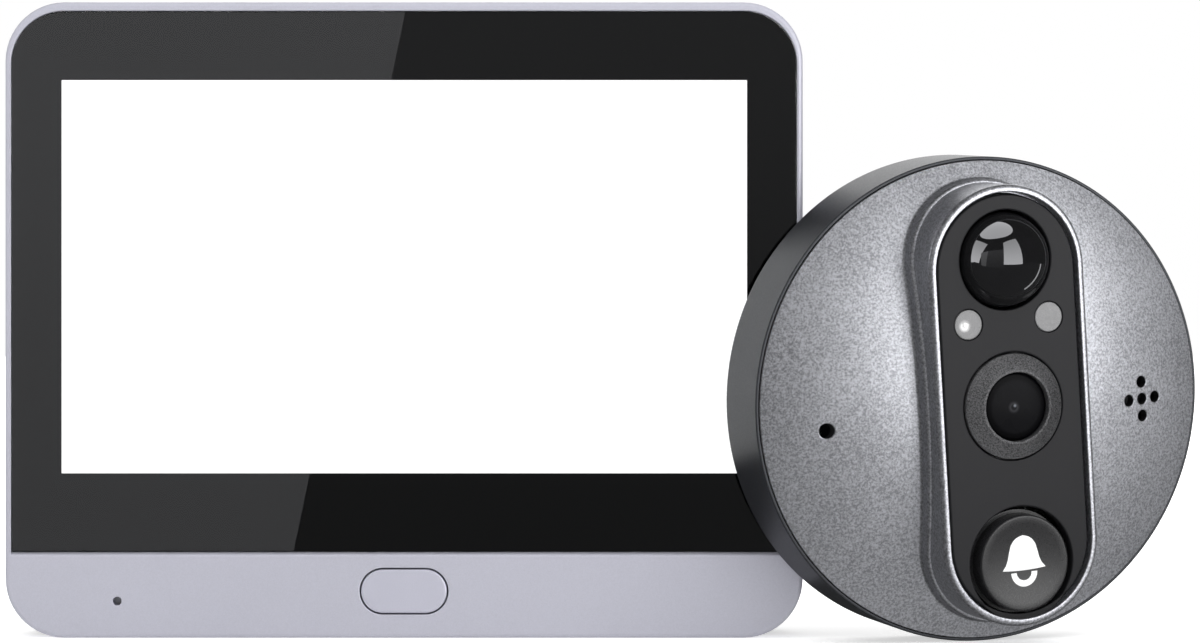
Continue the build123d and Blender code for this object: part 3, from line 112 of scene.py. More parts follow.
# Camera unit, in millimetres, with its heights outwards from the back plane. Cup: its radii, floor
# and rim, the rebate for the face, the flat of its back, and the hole for the boss
CUP_R, CUP_INNER, CUP_FLOOR, RIM_H, REBATE_R, REBATE_H = 33.2, 30.9, 2.0, 11.1, 32.8, 9.4
CUP_FLAT, BOSS_HOLE_R = CUP_R - 1.2, 7.45
# Foam ring and its groove: the groove's radii and depth, how proud the ring stands and its gap on
# both sides, and where the back's flat round the groove begins
PAD_IN, PAD_OUT, PAD_SINK, PAD_PROUD, PAD_GAP = 11.0, 23.0, 0.6, 0.4, 0.2
PAD_BRIM = PAD_OUT + 0.1
# Sunk holes for the screws in the back: their distance from the middle, angles, radius and depth
BACK_SCREW_R, BACK_SCREW_ANGLES, BACK_BORE_R, BACK_SINK = 26.8, (42, 138, 222, 318), 2.1, 1.0
# Domed face: its rise, radii, low edge and wall. Its ball's radius is the squared radius plus the
# squared rise, over twice the rise.
DOME_RISE, SHELL_R, SHELL_INNER, SHELL_LOW, SHELL_T = 7.0, 32.68, 31.08, 9.8, 1.6
DOME_R = (CUP_R**2 + DOME_RISE**2) / (2 * DOME_RISE)
DOME_CENTRE = RIM_H + DOME_RISE - DOME_R
# Where the dome's field of points ends, its rim's round, and the spacing of points inside
DOME_EDGE, RIM_ROUND, INSIDE_SPACING = SHELL_R - 0.7, 0.12, 2.4

# Raised capsule: the lip's height, size, wall and inner round, and how far its outside falls
LIP_H, LIP_L, LIP_W, LIP_WALL, LIP_INNER_ROUND, LIP_FALL = 21.6, 59.6, 22.9, 1.0, 0.18, 1.0
# The shoulder: its height over the dome, its width, its foot in the lip's wall, its drop to the
# flare, its two rounds, and the flare's radius and steps
SHOULDER_UP, SHOULDER_OUT, SHOULDER_FOOT, SHOULDER_DROP = 2.0, 0.5, 0.5, 0.8
SHOULDER_ROUNDS, FLARE_R, FLARE_STEPS = [0.08, 0.45], 0.5, 13
# The opening within the lip, and the cavity under the ledge that the panel lies on
OPENING_L, OPENING_W = LIP_L - 2 * LIP_WALL, LIP_W - 2 * LIP_WALL
CAVITY_L, CAVITY_W = 57.3, 19.8
# The panel's face, its back, its gap, and the rounds of its edge, of its back and of the holes for
# the windows, and the face of the board behind it
PANEL_H, LEDGE_H, PANEL_GAP, PANEL_ROUND, PANEL_LOW, LAMP_ROUND = 21.1, 19.6, 0.3, 0.3, 0.05, 0.12
BOARD_FACE = 15.2

# What looks out of the capsule. Motion lens: its place, radius, wall, centre, hole and flange
PIR_V, PIR_R, PIR_SKIN, PIR_CENTRE_H, PIR_HOLE_R = 19.7, 6.45, 0.95, 19.55, 6.7
PIR_FLANGE_W, PIR_FLANGE_T = 1.1, 0.8
# Windows: their place, radius, clearance, crown, thickness, and the stem behind
LAMP_U, LAMP_V, LAMP_R, LAMP_GAP, LAMP_CROWN, LAMP_T = 5.95, 11.5, 2.05, 0.05, 0.02, 1.5
STEM_IN, STEM_GAP = 0.55, 1.6
# Lens ring: its radius, bore, top, hole, flat crest, cone's foot, and flange
RING_R, RING_BORE, RING_TOP, RING_HOLE_R, RING_CREST, RING_FOOT = 7.1, 4.65, 22.4, 7.3, 0.35, 0.2
RING_FLANGE_W, RING_FLANGE_H, RING_LOW = 1.15, 19.4, 18.2
# Front lens: its radius, bulge, thickness, edge and sink under the ring
LENS_R, LENS_BULGE, LENS_T, LENS_EDGE, LENS_SINK = 4.5, 0.5, 1.1, 0.1, 0.2
# Bell button: its place, radius, top, hole, dish, depth under the panel's face, and flange
BELL_V, BELL_R, BELL_TOP, BELL_HOLE_R = -21.2, 6.55, 22.0, 7.6
DISH_R, DISH_DEPTH, BELL_DEPTH, BELL_FLANGE_W, BELL_FLANGE_T = 5.8, 0.4, 3.2, 0.55, 1.6
# Bell mark: half its brim's width, its brim and crown, the brim's sag, and its flank as shares of
# the way up and of that half width
MARK_HALF, MARK_BRIM, MARK_CROWN, MARK_SAG = 3.2, -0.8, 3.8, 0.2
MARK_UP = (0, 0.05, 0.14, 0.3, 0.5, 0.72, 0.86, 0.95, 1)
MARK_OUT = (1.0, 0.95, 0.84, 0.74, 0.67, 0.58, 0.44, 0.26, 0.0)
# The clapper's centre under the bell's and its radii, and the mark's edge from its top to its foot:
# how far each row is drawn out, and its height over the dish
CLAPPER_DOWN, CLAPPER_R, CLAPPER_INNER = 1.25, 1.95, 1.1
MARK_ROWS = ((-0.05, 0.02), (-0.015, 0.015), (0.0, -0.01), (0.0, -0.25))
# Sound holes: the middle of the five, their radius and pitch, the microphone's hole, and their
# brims' width and round
SPEAKER_U, SPEAKER_V, MIC_U, MIC_V = 22.7, -1.8, -24.4, -1.5
HOLE_R, HOLE_PITCH, MIC_HOLE_R, SOUND_BRIM, SOUND_ROUND = 0.8, 2.35, 1.02, 0.2, 0.14

# Usual limits of a noise's values
NOISE_LOW, NOISE_HIGH = 0.3, 0.7


# Places

class Place:
    """A flat place with an origin and three directions, where pieces are drawn in millimetres."""

    def __init__(self, origin, right, up):
        self.origin = np.array(origin, float)
        self.axes = np.array([right, up, np.cross(right, up)], float)

    def __call__(self, points):
        """Origin plus each local coordinate times its direction."""
        return self.origin + (np.asarray(points) * MM) @ self.axes


def unit_place():
    """The camera unit's back plane, from the two mounts on its back.

    The outward direction is against the boss's, the origin lies one boss length outwards from the
    boss's end, and the up direction points from there to the mount on the cup's back."""
    mounts = {mount["name"]: mount for mount in frame["record"]["mounts"]}
    outward = -np.array(mounts["boss_bolts"]["axis"])
    origin = np.array(mounts["boss_bolts"]["pos_m"]) + BOSS_LENGTH * MM * outward
    up = np.array(mounts["unit_back"]["pos_m"]) - origin
    up -= outward * (up @ outward)
    up /= np.linalg.norm(up)
    return Place(origin, np.cross(up, outward), up)


FRONT_Y, BACK_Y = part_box("front_frame")[0].y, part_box("rear_housing")[1].y
MONITOR = Place((0, FRONT_Y, 0), (1, 0, 0), (0, 0, 1))
BEHIND = Place((0, BACK_Y, 0), (-1, 0, 0), (0, 0, 1))
UNIT = unit_place()
UNIT_BACK = Place(UNIT.origin, -UNIT.axes[0], UNIT.axes[1])


# Outlines, each a closed row of points that runs anticlockwise

def circle(radius, centre=(0, 0), count=64):
    """Points at equal angles: the centre plus the radius times (cosine, sine)."""
    turn = np.linspace(0, 2 * np.pi, count, endpoint=False)
    return np.array(centre) + radius * np.stack([np.cos(turn), np.sin(turn)], 1)


def stadium(length, width, centre=(0, 0), arc=28, side=20, lying=False):
    """Half circles on two straight sides: one half is drawn, and the other is its opposite."""
    radius, reach = width / 2, (length - width) / 2
    turn = np.linspace(0, np.pi, arc, endpoint=False)
    rise = np.linspace(-reach, reach, side, endpoint=False)
    top = np.stack([radius * np.cos(turn), reach + radius * np.sin(turn)], 1)
    half = np.concatenate([np.stack([np.full(side, radius), rise], 1), top])
    points = np.concatenate([half, -half])
    if lying:
        points = points[:, ::-1] * (1, -1)
    return np.array(centre) + points


def rectangle(left, right, low, high, r_low, r_high, arc=14):
    """Quarter circles round the four corners, joined by straight sides."""
    turn = np.linspace(0, np.pi / 2, arc)
    corners = ((right - r_low, low + r_low, r_low, 3), (right - r_high, high - r_high, r_high, 0),
               (left + r_high, high - r_high, r_high, 1), (left + r_low, low + r_low, r_low, 2))
    return np.concatenate([
        np.array([x, y]) + r * np.stack([np.cos(turn + quarter * np.pi / 2),
                                         np.sin(turn + quarter * np.pi / 2)], 1)
        for x, y, r, quarter in corners])


def cross(arm, half_width, centre=(0, 0), count=64):
    """A screwdriver's cross: the distance from the middle is the arm's, or less where the arm's
    side comes first, which is its half width over the sine of the angle from the arm."""
    turn = np.linspace(0, 2 * np.pi, count, endpoint=False) + TINY
    fold = np.abs((turn + np.pi / 4) % (np.pi / 2) - np.pi / 4)
    reach = np.minimum(arm / np.cos(fold), half_width / np.maximum(np.sin(fold), TINY))
    return np.array(centre) + reach[:, None] * np.stack([np.cos(turn), np.sin(turn)], 1)


def drawn_out(line, side, low=None):
    """One of the monitor's outlines, drawn out from its sides and its top, and from its low edge
    by that edge's own share if it has one."""
    half, bottom, top, r_low, r_high = line
    return rectangle(-half - side, half + side, bottom - (side if low is None else low), top + side,
                     r_low + side, r_high + side)


def pill(sizes, offset):
    """The long button's outline, or its hole's, lying in the chin and drawn out by the offset."""
    return stadium(sizes[0] + 2 * offset, sizes[1] + 2 * offset, CHIN_BUTTON, lying=True)


def capsule(length, width):
    """The outline of the raised capsule or of its cavity."""
    return stadium(length, width, arc=48, side=36)


def back_spots(mirrored=1):
    """Centres of the screws in the cup's back: the radius times (cosine, sine), and mirrored
    where they are drawn from behind."""
    angles = np.radians(BACK_SCREW_ANGLES)
    return BACK_SCREW_R * np.stack([mirrored * np.cos(angles), np.sin(angles)], 1)


# Profiles and surfaces

def eased(corners, radii, steps=5):
    """A profile whose corners are rounded.

    Each corner is left at its radius over the tangent of half its angle, on both sides, and the
    round between is turned from the one direction to the other about its centre."""
    corners = np.array(corners, float)
    made = [corners[:1]]
    for before, corner, after, radius in zip(corners, corners[1:], corners[2:], radii):
        if radius == 0:
            made.append(corner[None])
            continue
        to, fro = before - corner, after - corner
        to, fro = to / np.linalg.norm(to), fro / np.linalg.norm(fro)
        half = np.arccos(np.clip(to @ fro, -1, 1)) / 2
        start, end = corner + to * radius / np.tan(half), corner + fro * radius / np.tan(half)
        centre = corner + (to + fro) / np.linalg.norm(to + fro) * radius / np.sin(half)
        share, turn = np.linspace(0, 1, steps + 1)[:, None], np.pi - 2 * half
        arc = (np.sin((1 - share) * turn) * (start - centre)
               + np.sin(share * turn) * (end - centre)) / np.sin(turn)
        made += [(start + to * HOLD)[None], centre + arc, (end + fro * HOLD)[None]]
    return np.concatenate(made + [corners[-1:]])


def lifted(outline, height):
    """An outline's points at a height, which may differ from point to point."""
    return np.column_stack([outline, np.broadcast_to(height, len(outline))])


def skin(rows, finish=0):
    """Four-sided faces between closed rows that follow each other along a profile."""
    rows = np.asarray(rows)
    count, around = rows.shape[:2]
    first, point = np.meshgrid(np.arange(count - 1), np.arange(around), indexing="ij")
    here, there = first * around, (first + 1) * around
    ahead = (point + 1) % around
    faces = np.stack([here + point, there + point, there + ahead, here + ahead], -1)
    return rows.reshape(-1, 3), faces.reshape(-1, 4), finish


def carried(outline, profile):
    """A profile of (offset, height) carried round an outline, drawn anew at each offset."""
    return skin([lifted(outline(offset), height) for offset, height in profile])


def turned(profile, centre=(0, 0), count=64):
    """A profile of (radius, height) turned about the upright line through the centre."""
    return carried(lambda radius: circle(max(radius, 0), centre, count), profile)


def facing(points, faces, up):
    """The faces with their corners in the order that makes each point up, or each down."""
    edge = points[faces[:, 1:]] - points[faces[:, :1]]
    area = edge[:, 0, 0] * edge[:, 1, 1] - edge[:, 0, 1] * edge[:, 1, 0]
    keep = np.abs(area) > SLIVER
    wrong = (area > 0) != up
    return np.where(wrong[:, None], faces[:, ::-1], faces)[keep]


def cap(outlines, height, up=True):
    """A face inside the first outline and outside the others, cut into triangles. It is flat,
    unless its height differs from point to point."""
    faces = np.array(tessellate_polygon([outline.tolist() for outline in outlines]))
    points = np.concatenate([lifted(outline, height) for outline in outlines])
    return points, facing(points, faces, up), 0


def plate(edges, high, low):
    """A flat plate between two heights.

    Each edge is an outline drawn at an offset, with the radius of its upper round and of its
    lower one. Its profile runs down the wall, and two caps close the plate."""
    parts, tops, bottoms = [], [], []
    for outline, r_high, r_low in edges:
        profile = eased([(-r_high - 2 * HOLD, high), (0, high), (0, low),
                         (-r_low - 2 * HOLD, low)], [r_high, r_low])
        parts.append(carried(outline, profile))
        tops.append(outline(profile[0][0]))
        bottoms.append(outline(profile[-1][0]))
    return parts + [cap(tops, high), cap(bottoms, low, up=False)]


def hole(radius, centre, count=64):
    """A round hole's edge, which runs clockwise and shrinks as its offset grows."""
    return lambda offset: circle(radius - offset, centre, count)[::-1]


def dome_height(points, under=0.0):
    """Height of the dome over its points: its centre's, plus the root of the squared radius less
    the squared distance from the axis. For its inside, the radius is less by the wall's
    thickness."""
    return DOME_CENTRE + np.sqrt((DOME_R - under) ** 2 - (points[:, :2] ** 2).sum(1))


def dome_at(radius, under=0.0):
    """Height of the dome at a distance from its axis."""
    return dome_height(np.array([[radius, 0]]), under)[0]


def scattered(outer, inner, holes, spacing, under, up):
    """The dome between a circle and an inner outline, outside some round holes.

    The outlines' own points and a field of points between them are joined by the triangles whose
    circumcircles are empty. Triangles whose middle lies outside the circle, within the inner
    outline or in a hole are dropped, and the rest are lifted on to the dome."""
    rings = [outer, inner] + [circle(radius, centre, count) for radius, centre, count in holes]
    reach = np.linalg.norm(outer[0])
    across = np.arange(-reach, reach, spacing)
    u, v = np.meshgrid(across, across * ROW_SHARE)
    u = u + (np.arange(len(across)) % 2)[:, None] * spacing / 2
    field = np.stack([u.ravel(), v.ravel()], 1)

    def clear(points, margin):
        """Whether points lie on the dome, at least this far from its outlines."""
        inside = np.linalg.norm(points, axis=1) < reach * np.cos(np.pi / len(outer)) - margin
        for radius, centre, _ in holes:
            inside &= np.linalg.norm(points - centre, axis=1) > radius + margin
        ahead = np.roll(inner, -1, axis=0) - inner
        to = points[:, None] - inner[None]
        share = np.clip((to * ahead).sum(-1) / (ahead**2).sum(-1), 0, 1)
        apart = np.linalg.norm(to - share[..., None] * ahead, axis=-1)
        nearest = apart.argmin(1)
        side = ahead[:, 0] * to[..., 1] - ahead[:, 1] * to[..., 0]
        side = side[np.arange(len(points)), nearest]
        return inside & (side < 0) & (apart.min(1) > margin)

    field = field[clear(field, spacing * FIELD_CLEAR)]
    points = np.concatenate(rings + [field])
    starts = np.cumsum([0] + [len(ring) for ring in rings])
    edges = np.concatenate([
        start + np.stack([np.arange(len(ring)), (np.arange(len(ring)) + 1) % len(ring)], 1)
        for start, ring in zip(starts, rings)])
    found = delaunay_2d_cdt(points.tolist(), edges.tolist(), [], 0, 1e-6, False)
    plan, faces = np.array(found[0]), np.array(found[2])
    faces = faces[clear(plan[faces].mean(1), 0)]
    lifted_points = np.column_stack([plan, dome_height(plan, under)])
    return lifted_points, facing(lifted_points, faces, up), 0


# Pieces

def piece(name, place, parts, slot, body="main", stands_for=(), finishes=()):
    """Makes one piece of its parts, welds their seams, hangs it under its body and hides the
    imported pieces that it stands for.

    Each part is its points in millimetres, its faces and the number of its finish. A piece wears
    its slot's finish, unless it is given finishes of its own."""
    starts = np.cumsum([0] + [len(points) for points, _, _ in parts])
    corners = [(start + faces).tolist() for start, (_, faces, _) in zip(starts, parts)]
    mesh = bpy.data.meshes.new(name)
    points = place(np.concatenate([points for points, _, _ in parts]))
    mesh.from_pydata(points, [], sum(corners, []))
    mesh.polygons.foreach_set("material_index", np.concatenate(
        [np.full(len(faces), finish, np.int32) for _, faces, finish in parts]))
    welded = bmesh.new()
    welded.from_mesh(mesh)
    bmesh.ops.remove_doubles(welded, verts=welded.verts, dist=WELD)
    bmesh.ops.dissolve_degenerate(welded, edges=welded.edges, dist=WELD / 4)
    welded.to_mesh(mesh)
    welded.free()
    mesh.shade_smooth()
    mesh.set_sharp_from_angle(angle=np.radians(SHARP))
    for finish in finishes or [slot]:
        mesh.materials.append(finish_of(finish))
    made = bpy.data.objects.new(name, mesh)
    bpy.context.scene.collection.objects.link(made)
    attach(made, body)
    if stands_for:
        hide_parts(*stands_for)


# Shader nodes

class Value:
    """A node's output that takes part in sums, each of which adds a Math node."""

    def __init__(self, finish, socket):
        self.finish, self.socket = finish, socket

    def worked(self, operation, *values):
        """The output of a Math node over the values."""
        return self.finish.node(
            "ShaderNodeMath", {"operation": operation}, dict(enumerate(values)))

    def __add__(self, other):
        return self.worked("ADD", self, other)

    __radd__ = __add__

    def __sub__(self, other):
        return self.worked("SUBTRACT", self, other)

    def __rsub__(self, other):
        return self.worked("SUBTRACT", other, self)

    def __mul__(self, other):
        return self.worked("MULTIPLY", self, other)

    __rmul__ = __mul__

    def __truediv__(self, other):
        return self.worked("DIVIDE", self, other)

    def __lt__(self, other):
        return self.worked("LESS_THAN", self, other)


class Nodes:
    """An emptied node tree and the method that fills it."""

    def __init__(self, tree):
        self.tree = tree
        self.tree.nodes.clear()

    def node(self, kind, settings=None, sockets=None, out=0):
        """Adds a node, sets it up, then gives its sockets their values or links."""
        made = self.tree.nodes.new(kind)
        for name, value in (settings or {}).items():
            if name == "stops":
                for extra in value[2:]:
                    made.color_ramp.elements.new(extra[0])
                for element, (position, shade) in zip(made.color_ramp.elements, value):
                    element.position, element.color = position, (shade, shade, shade, 1)
            else:
                setattr(made, name, value)
        for name, value in (sockets or {}).items():
            if isinstance(value, Value):
                self.tree.links.new(value.socket, made.inputs[name])
            else:
                made.inputs[name].default_value = value
        return Value(self, made.outputs[out]) if made.outputs else None


class Finish(Nodes):
    """One material and the nodes that give it its look."""

    def __init__(self, name):
        self.material = bpy.data.materials.new(name)
        self.material.use_nodes = True
        super().__init__(self.material.node_tree)
        self.spot = self.node("ShaderNodeTexCoord", out="Object")

    def noise(self, scale, detail=2.0, roughness=0.5, at=None):
        """Noise with so many swells to the metre."""
        return self.node("ShaderNodeTexNoise", {}, {
            "Vector": at or self.spot, "Scale": scale, "Detail": detail, "Roughness": roughness})

    def cells(self, scale, out="Distance", feature="F1"):
        """Cells, so many to the metre."""
        return self.node("ShaderNodeTexVoronoi", {"feature": feature}, {
            "Vector": self.spot, "Scale": scale}, out)

    def cell_shade(self, scale):
        """A shade of its own for each cell: the red of its colour."""
        return self.node("ShaderNodeSeparateColor", {}, {0: self.cells(scale, "Color")})

    def ramp(self, value, *stops):
        """A grey for a value: each stop is a position and its shade."""
        return self.node("ShaderNodeValToRGB", {"stops": stops}, {0: value})

    def between(self, value, low, high, new_low=0.0, new_high=1.0):
        """A value's place between two limits, eased and kept within them."""
        return self.node("ShaderNodeMapRange", {"interpolation_type": "SMOOTHSTEP"}, {
            "Value": value, "From Min": low, "From Max": high,
            "To Min": new_low, "To Max": new_high})

    def spread(self, value, new_low=0.0, new_high=1.0):
        """A noise's value, spread from its usual limits to new ones."""
        return self.between(value, NOISE_LOW, NOISE_HIGH, new_low, new_high)

    def mixed(self, share, one, other):
        """A colour between two, which are colours or links."""
        one, other = (value if isinstance(value, Value) else (*value[:3], 1)
                      for value in (one, other))
        return self.node("ShaderNodeMix", {"data_type": "RGBA"}, {0: share, 6: one, 7: other}, 2)

    def stretched(self, scale):
        """Object coordinates, each times its own scale."""
        return self.node("ShaderNodeMapping", {}, {"Vector": self.spot, "Scale": scale})

    def along(self, place, centre=(0, 0)):
        """Coordinates in a place's own directions, in millimetres from a centre in it."""
        middle = place((*centre, 0))
        moved = self.node("ShaderNodeVectorMath", {"operation": "SUBTRACT"}, {
            0: self.spot, 1: tuple(middle)})
        return [self.node("ShaderNodeVectorMath", {"operation": "DOT_PRODUCT"}, {
            0: moved, 1: tuple(axis / MM)}, "Value") for axis in place.axes]

    def bump(self, height, depth):
        """A normal for a height from 0 to 1 that stands for a depth in millimetres."""
        return self.node("ShaderNodeBump", {}, {
            "Height": height, "Distance": depth * MM, "Strength": 1.0})

    def surface(self, **sockets):
        """Closes the material with a principled shader whose sockets are given by name."""
        named = {name.replace("_", " "): value for name, value in sockets.items()}
        for name in ("Base Color", "Emission Color"):
            if name in named and not isinstance(named[name], Value):
                named[name] = (*named[name][:3], 1)
        shader = self.node("ShaderNodeBsdfPrincipled", {}, named)
        self.node("ShaderNodeOutputMaterial", {}, {"Surface": shader})
        return self.material


def radius_of(finish, u, v):
    """Distance from the centre: the root of the summed squares."""
    return finish.node("ShaderNodeMath", {"operation": "SQRT"}, {0: u * u + v * v})


# Finishes: one for each material slot of the record, and a few for single pieces

# Paints and moulded plastics: the colour, or the name of one that the user sets, the roughness,
# the metallic share, the grain's size and relief in millimetres, how much lighter or darker its
# flecks are, and the sheen
PAINTS = {
    "silver_paint": ("frame", 0.42, 0.25, 0.16, 0.0015, 0.05, 0.5),
    "button_silver": ("button", 0.36, 0.25, 0.14, 0.001, 0.04, 0.5),
    "cup_grey": ("cup", 0.42, 0.5, 0.2, 0.0015, 0.08, 0.4),
    "panel_grey": ("panel", 0.4, 0.0, 0.18, 0.0018, 0.08, 0.14),
    "ring_grey": ((0.068, 0.068, 0.071), 0.46, 0.3, 0.2, 0.008, 0.85, 0.2),
    "cap_grey": ((0.011, 0.011, 0.012), 0.3, 0.0, 0.14, 0.003, 0.4, 0.38),
    "black_plastic": ((0.018, 0.018, 0.02), 0.4, 0.0, 0.15, 0.001, 0.1, 0.5),
    "chip_black": ((0.022, 0.022, 0.024), 0.5, 0.0, 0.06, 0.001, 0.25, 0.5),
    "boss_alloy": ((0.46, 0.46, 0.48), 0.42, 0.9, 0.3, 0.006, 0.1, 0.5),
    "lamp_yellow": ((0.8, 0.62, 0.12), 0.4, 0.0, 0.1, 0.004, 0.12, 0.5),
    "icon_white": ((0.86, 0.86, 0.86), 0.36, 0.0, 0.12, 0.0008, 0.02, 0.5),
    "seal_rubber": ((0.012, 0.012, 0.013), 0.72, 0.0, 0.4, 0.006, 0.3, 0.5)}

# Rolled and drawn metals: the colour, the roughness, the streaks' number to the metre along each
# axis, and their relief in millimetres
METALS = {
    "sheet_steel": ((0.6, 0.61, 0.63), 0.34, (60.0, 60.0, 4200.0), 0.002),
    "screw_steel": ((0.5, 0.5, 0.52), 0.3, (900.0, 5000.0, 900.0), 0.001),
    "socket_metal": ((0.66, 0.66, 0.68), 0.26, (300.0, 4500.0, 300.0), 0.001),
    "brass": ((0.72, 0.52, 0.2), 0.26, (4000.0, 500.0, 4000.0), 0.001),
    "copper_film": ((0.7, 0.36, 0.18), 0.3, (4200.0, 80.0, 80.0), 0.001)}


def shaded(colour, share):
    """A colour times a share, and white at most."""
    return tuple(min(part * share, 1.0) for part in colour)


def painted(name, colour, roughness, metallic, grain, relief, fleck, sheen):
    """Fine paint or moulded plastic: a grain that shades, roughens and dimples the surface."""
    if isinstance(colour, str):
        colour = getattr(bpy.context.scene.doorbell_colours, colour)
    finish = Finish(name)
    fine = finish.noise(1 / (grain * MM), 3.0, 0.65)
    broad = finish.noise(60.0, 2.0, 0.5)
    lit = finish.spread(fine * 0.8 + broad * 0.2)
    return finish.surface(
        Base_Color=finish.mixed(lit, shaded(colour, 1 - fleck), shaded(colour, 1 + fleck)),
        Metallic=metallic, Roughness=finish.spread(fine, roughness - 0.05, roughness + 0.05),
        Specular_IOR_Level=sheen, Normal=finish.bump(fine, relief))


def streaked(name, colour, roughness, along, relief):
    """Rolled or drawn metal: streaks from a noise that is stretched along one direction."""
    finish = Finish(name)
    streak = finish.noise(1.0, 4.0, 0.6, finish.stretched(along))
    blot = finish.noise(120.0, 3.0)
    lit = finish.spread(streak * 0.75 + blot * 0.25)
    return finish.surface(
        Base_Color=finish.mixed(lit, shaded(colour, 0.82), colour), Metallic=1.0,
        Roughness=finish.spread(streak, roughness - 0.06, roughness + 0.08),
        Normal=finish.bump(streak, relief))


def flecked_silver():
    """Metallic paint: fine dark and light specks that drift in clouds, and a few bright flakes."""
    sizes, shell = bpy.context.scene.doorbell_sizes, bpy.context.scene.doorbell_colours.shell
    finish = Finish("flecked_silver")
    bright = finish.ramp(finish.cell_shade(1 / (sizes.flake * MM)),
                         (0.0, 0.0), (0.86, 0.0), (1.0, 1.0))
    fine = finish.noise(1 / (sizes.flake * 1.7 * MM), 3.0, 0.7)
    cloud = finish.noise(90.0, 3.0, 0.55)
    speck = finish.between(fine * 0.88 + cloud * 0.12, 0.36, 0.64)
    paint = finish.mixed(speck, shaded(shell, 0.64), shaded(shell, 1.34))
    height = fine * 0.75 + finish.cells(1 / (sizes.flake * 1.3 * MM)) * 0.25
    return finish.surface(
        Base_Color=finish.mixed(bright * 0.3, paint, shaded(shell, 1.8)), Metallic=0.92,
        Roughness=finish.spread(fine, 0.33, 0.45), Normal=finish.bump(height, sizes.grain_depth))


def graphite():
    """Spark-eroded plastic: small rounded bumps close together."""
    back = bpy.context.scene.doorbell_colours.back
    finish = Finish("graphite")
    bumps = finish.cells(3200.0, feature="SMOOTH_F1")
    fine = finish.noise(7000.0, 2.0)
    lit = finish.between(bumps * 0.6 + fine * 0.4, 0.2, 0.7)
    return finish.surface(
        Base_Color=finish.mixed(lit, shaded(back, 0.85), back),
        Roughness=finish.spread(fine, 0.46, 0.6), Normal=finish.bump(bumps, 0.012))


def front_glass():
    """Clear polished glass with the faintest smears."""
    finish = Finish("front_glass")
    smear = finish.noise(35.0, 4.0, 0.6)
    return finish.surface(
        Base_Color=finish.mixed(smear, (1, 1, 1), (0.97, 0.975, 0.975)), Roughness=0.0, IOR=1.5,
        Transmission_Weight=1.0)


def black_print():
    """Black ink on the back of the glass, with a fine grain."""
    finish = Finish("black_print")
    fine = finish.noise(9000.0, 1.0)
    return finish.surface(
        Base_Color=finish.mixed(fine, (0.003, 0.003, 0.0035), (0.005, 0.005, 0.006)),
        Roughness=finish.spread(fine, 0.3, 0.4))


def display():
    """White lit panel whose brightness drifts faintly from place to place."""
    screen = bpy.context.scene.doorbell_colours.screen
    finish = Finish("display")
    lit = finish.between(finish.noise(14.0, 1.0), 0.2, 0.8)
    return finish.surface(
        Base_Color=(0.05, 0.05, 0.05), Roughness=0.4,
        Emission_Color=finish.mixed(lit, shaded(screen, 0.985), screen), Emission_Strength=1.15)


def pouch_foil():
    """Soft foil pouch: broad shallow dents in a satin silver skin."""
    finish = Finish("pouch_foil")
    dent = finish.noise(140.0, 3.0, 0.5)
    fine = finish.noise(5000.0, 2.0)
    return finish.surface(
        Base_Color=finish.mixed(dent, (0.55, 0.56, 0.58), (0.68, 0.69, 0.71)), Metallic=0.85,
        Roughness=finish.spread(fine, 0.3, 0.42), Normal=finish.bump(dent, 0.12))


def circuit_board():
    """Black mask over copper tracks, which show as narrow ridges between wide cells."""
    finish = Finish("circuit_board")
    track = finish.cells(420.0, feature="DISTANCE_TO_EDGE")
    ridge = 1 - finish.between(track, 0.0, 0.09)
    weave = finish.noise(2600.0, 2.0)
    mask = finish.mixed(ridge, (0.008, 0.01, 0.009), (0.024, 0.028, 0.025))
    return finish.surface(
        Base_Color=finish.mixed(weave * 0.3, mask, (0.004, 0.005, 0.0045)),
        Roughness=finish.spread(weave, 0.24, 0.36), Coat_Weight=0.4,
        Normal=finish.bump(ridge * 0.8 + weave * 0.2, 0.035))


def gloss_black():
    """Polished black plastic that lets the infrared through, with the faintest flow ripple."""
    finish = Finish("gloss_black")
    ripple = finish.noise(260.0, 2.0)
    return finish.surface(
        Base_Color=finish.mixed(ripple, (0.004, 0.004, 0.004), (0.008, 0.008, 0.009)),
        Roughness=0.0, Specular_IOR_Level=0.62, Normal=finish.bump(ripple, 0.01))


def lens_black():
    """Coated front lens: black, with painted reflections: the edges of the lenses behind it as
    faint lighter rings, a small pupil with a bright ring, and a painted glint near the middle."""
    finish = Finish("lens_black")
    u, v, _ = finish.along(UNIT)
    # Painted reflections: lighter rings where the lenses behind it lie, then a bright ring round
    # the pupil and a glint, both set a little off the middle
    painted_lens_rings = finish.ramp(radius_of(finish, u, v) / LENS_R, (0.0, 0.3), (0.5, 0.36), (0.76, 0.42),
                       (0.84, 0.06), (1.0, 0.0))
    painted_pupil_ring = finish.ramp(radius_of(finish, u + 0.45, v), (0.0, 0.1), (0.35, 0.15), (0.5, 0.9),
                        (0.72, 0.25), (0.9, 0.0))
    painted_glint = 1 - finish.between(radius_of(finish, u + 0.3, v - 0.2), 0.05, 0.3)
    inner = finish.mixed(painted_lens_rings, (0.002, 0.002, 0.0025), (0.011, 0.011, 0.0125))
    painted_rings_and_pupil = finish.mixed(painted_pupil_ring * 0.5, inner, (0.06, 0.06, 0.066))
    return finish.surface(
        Base_Color=finish.mixed(painted_glint * 0.5, painted_rings_and_pupil, (0.3, 0.32, 0.36)),
        Roughness=finish.spread(finish.noise(400.0, 1.0), 0.26, 0.3), Specular_IOR_Level=0.03)


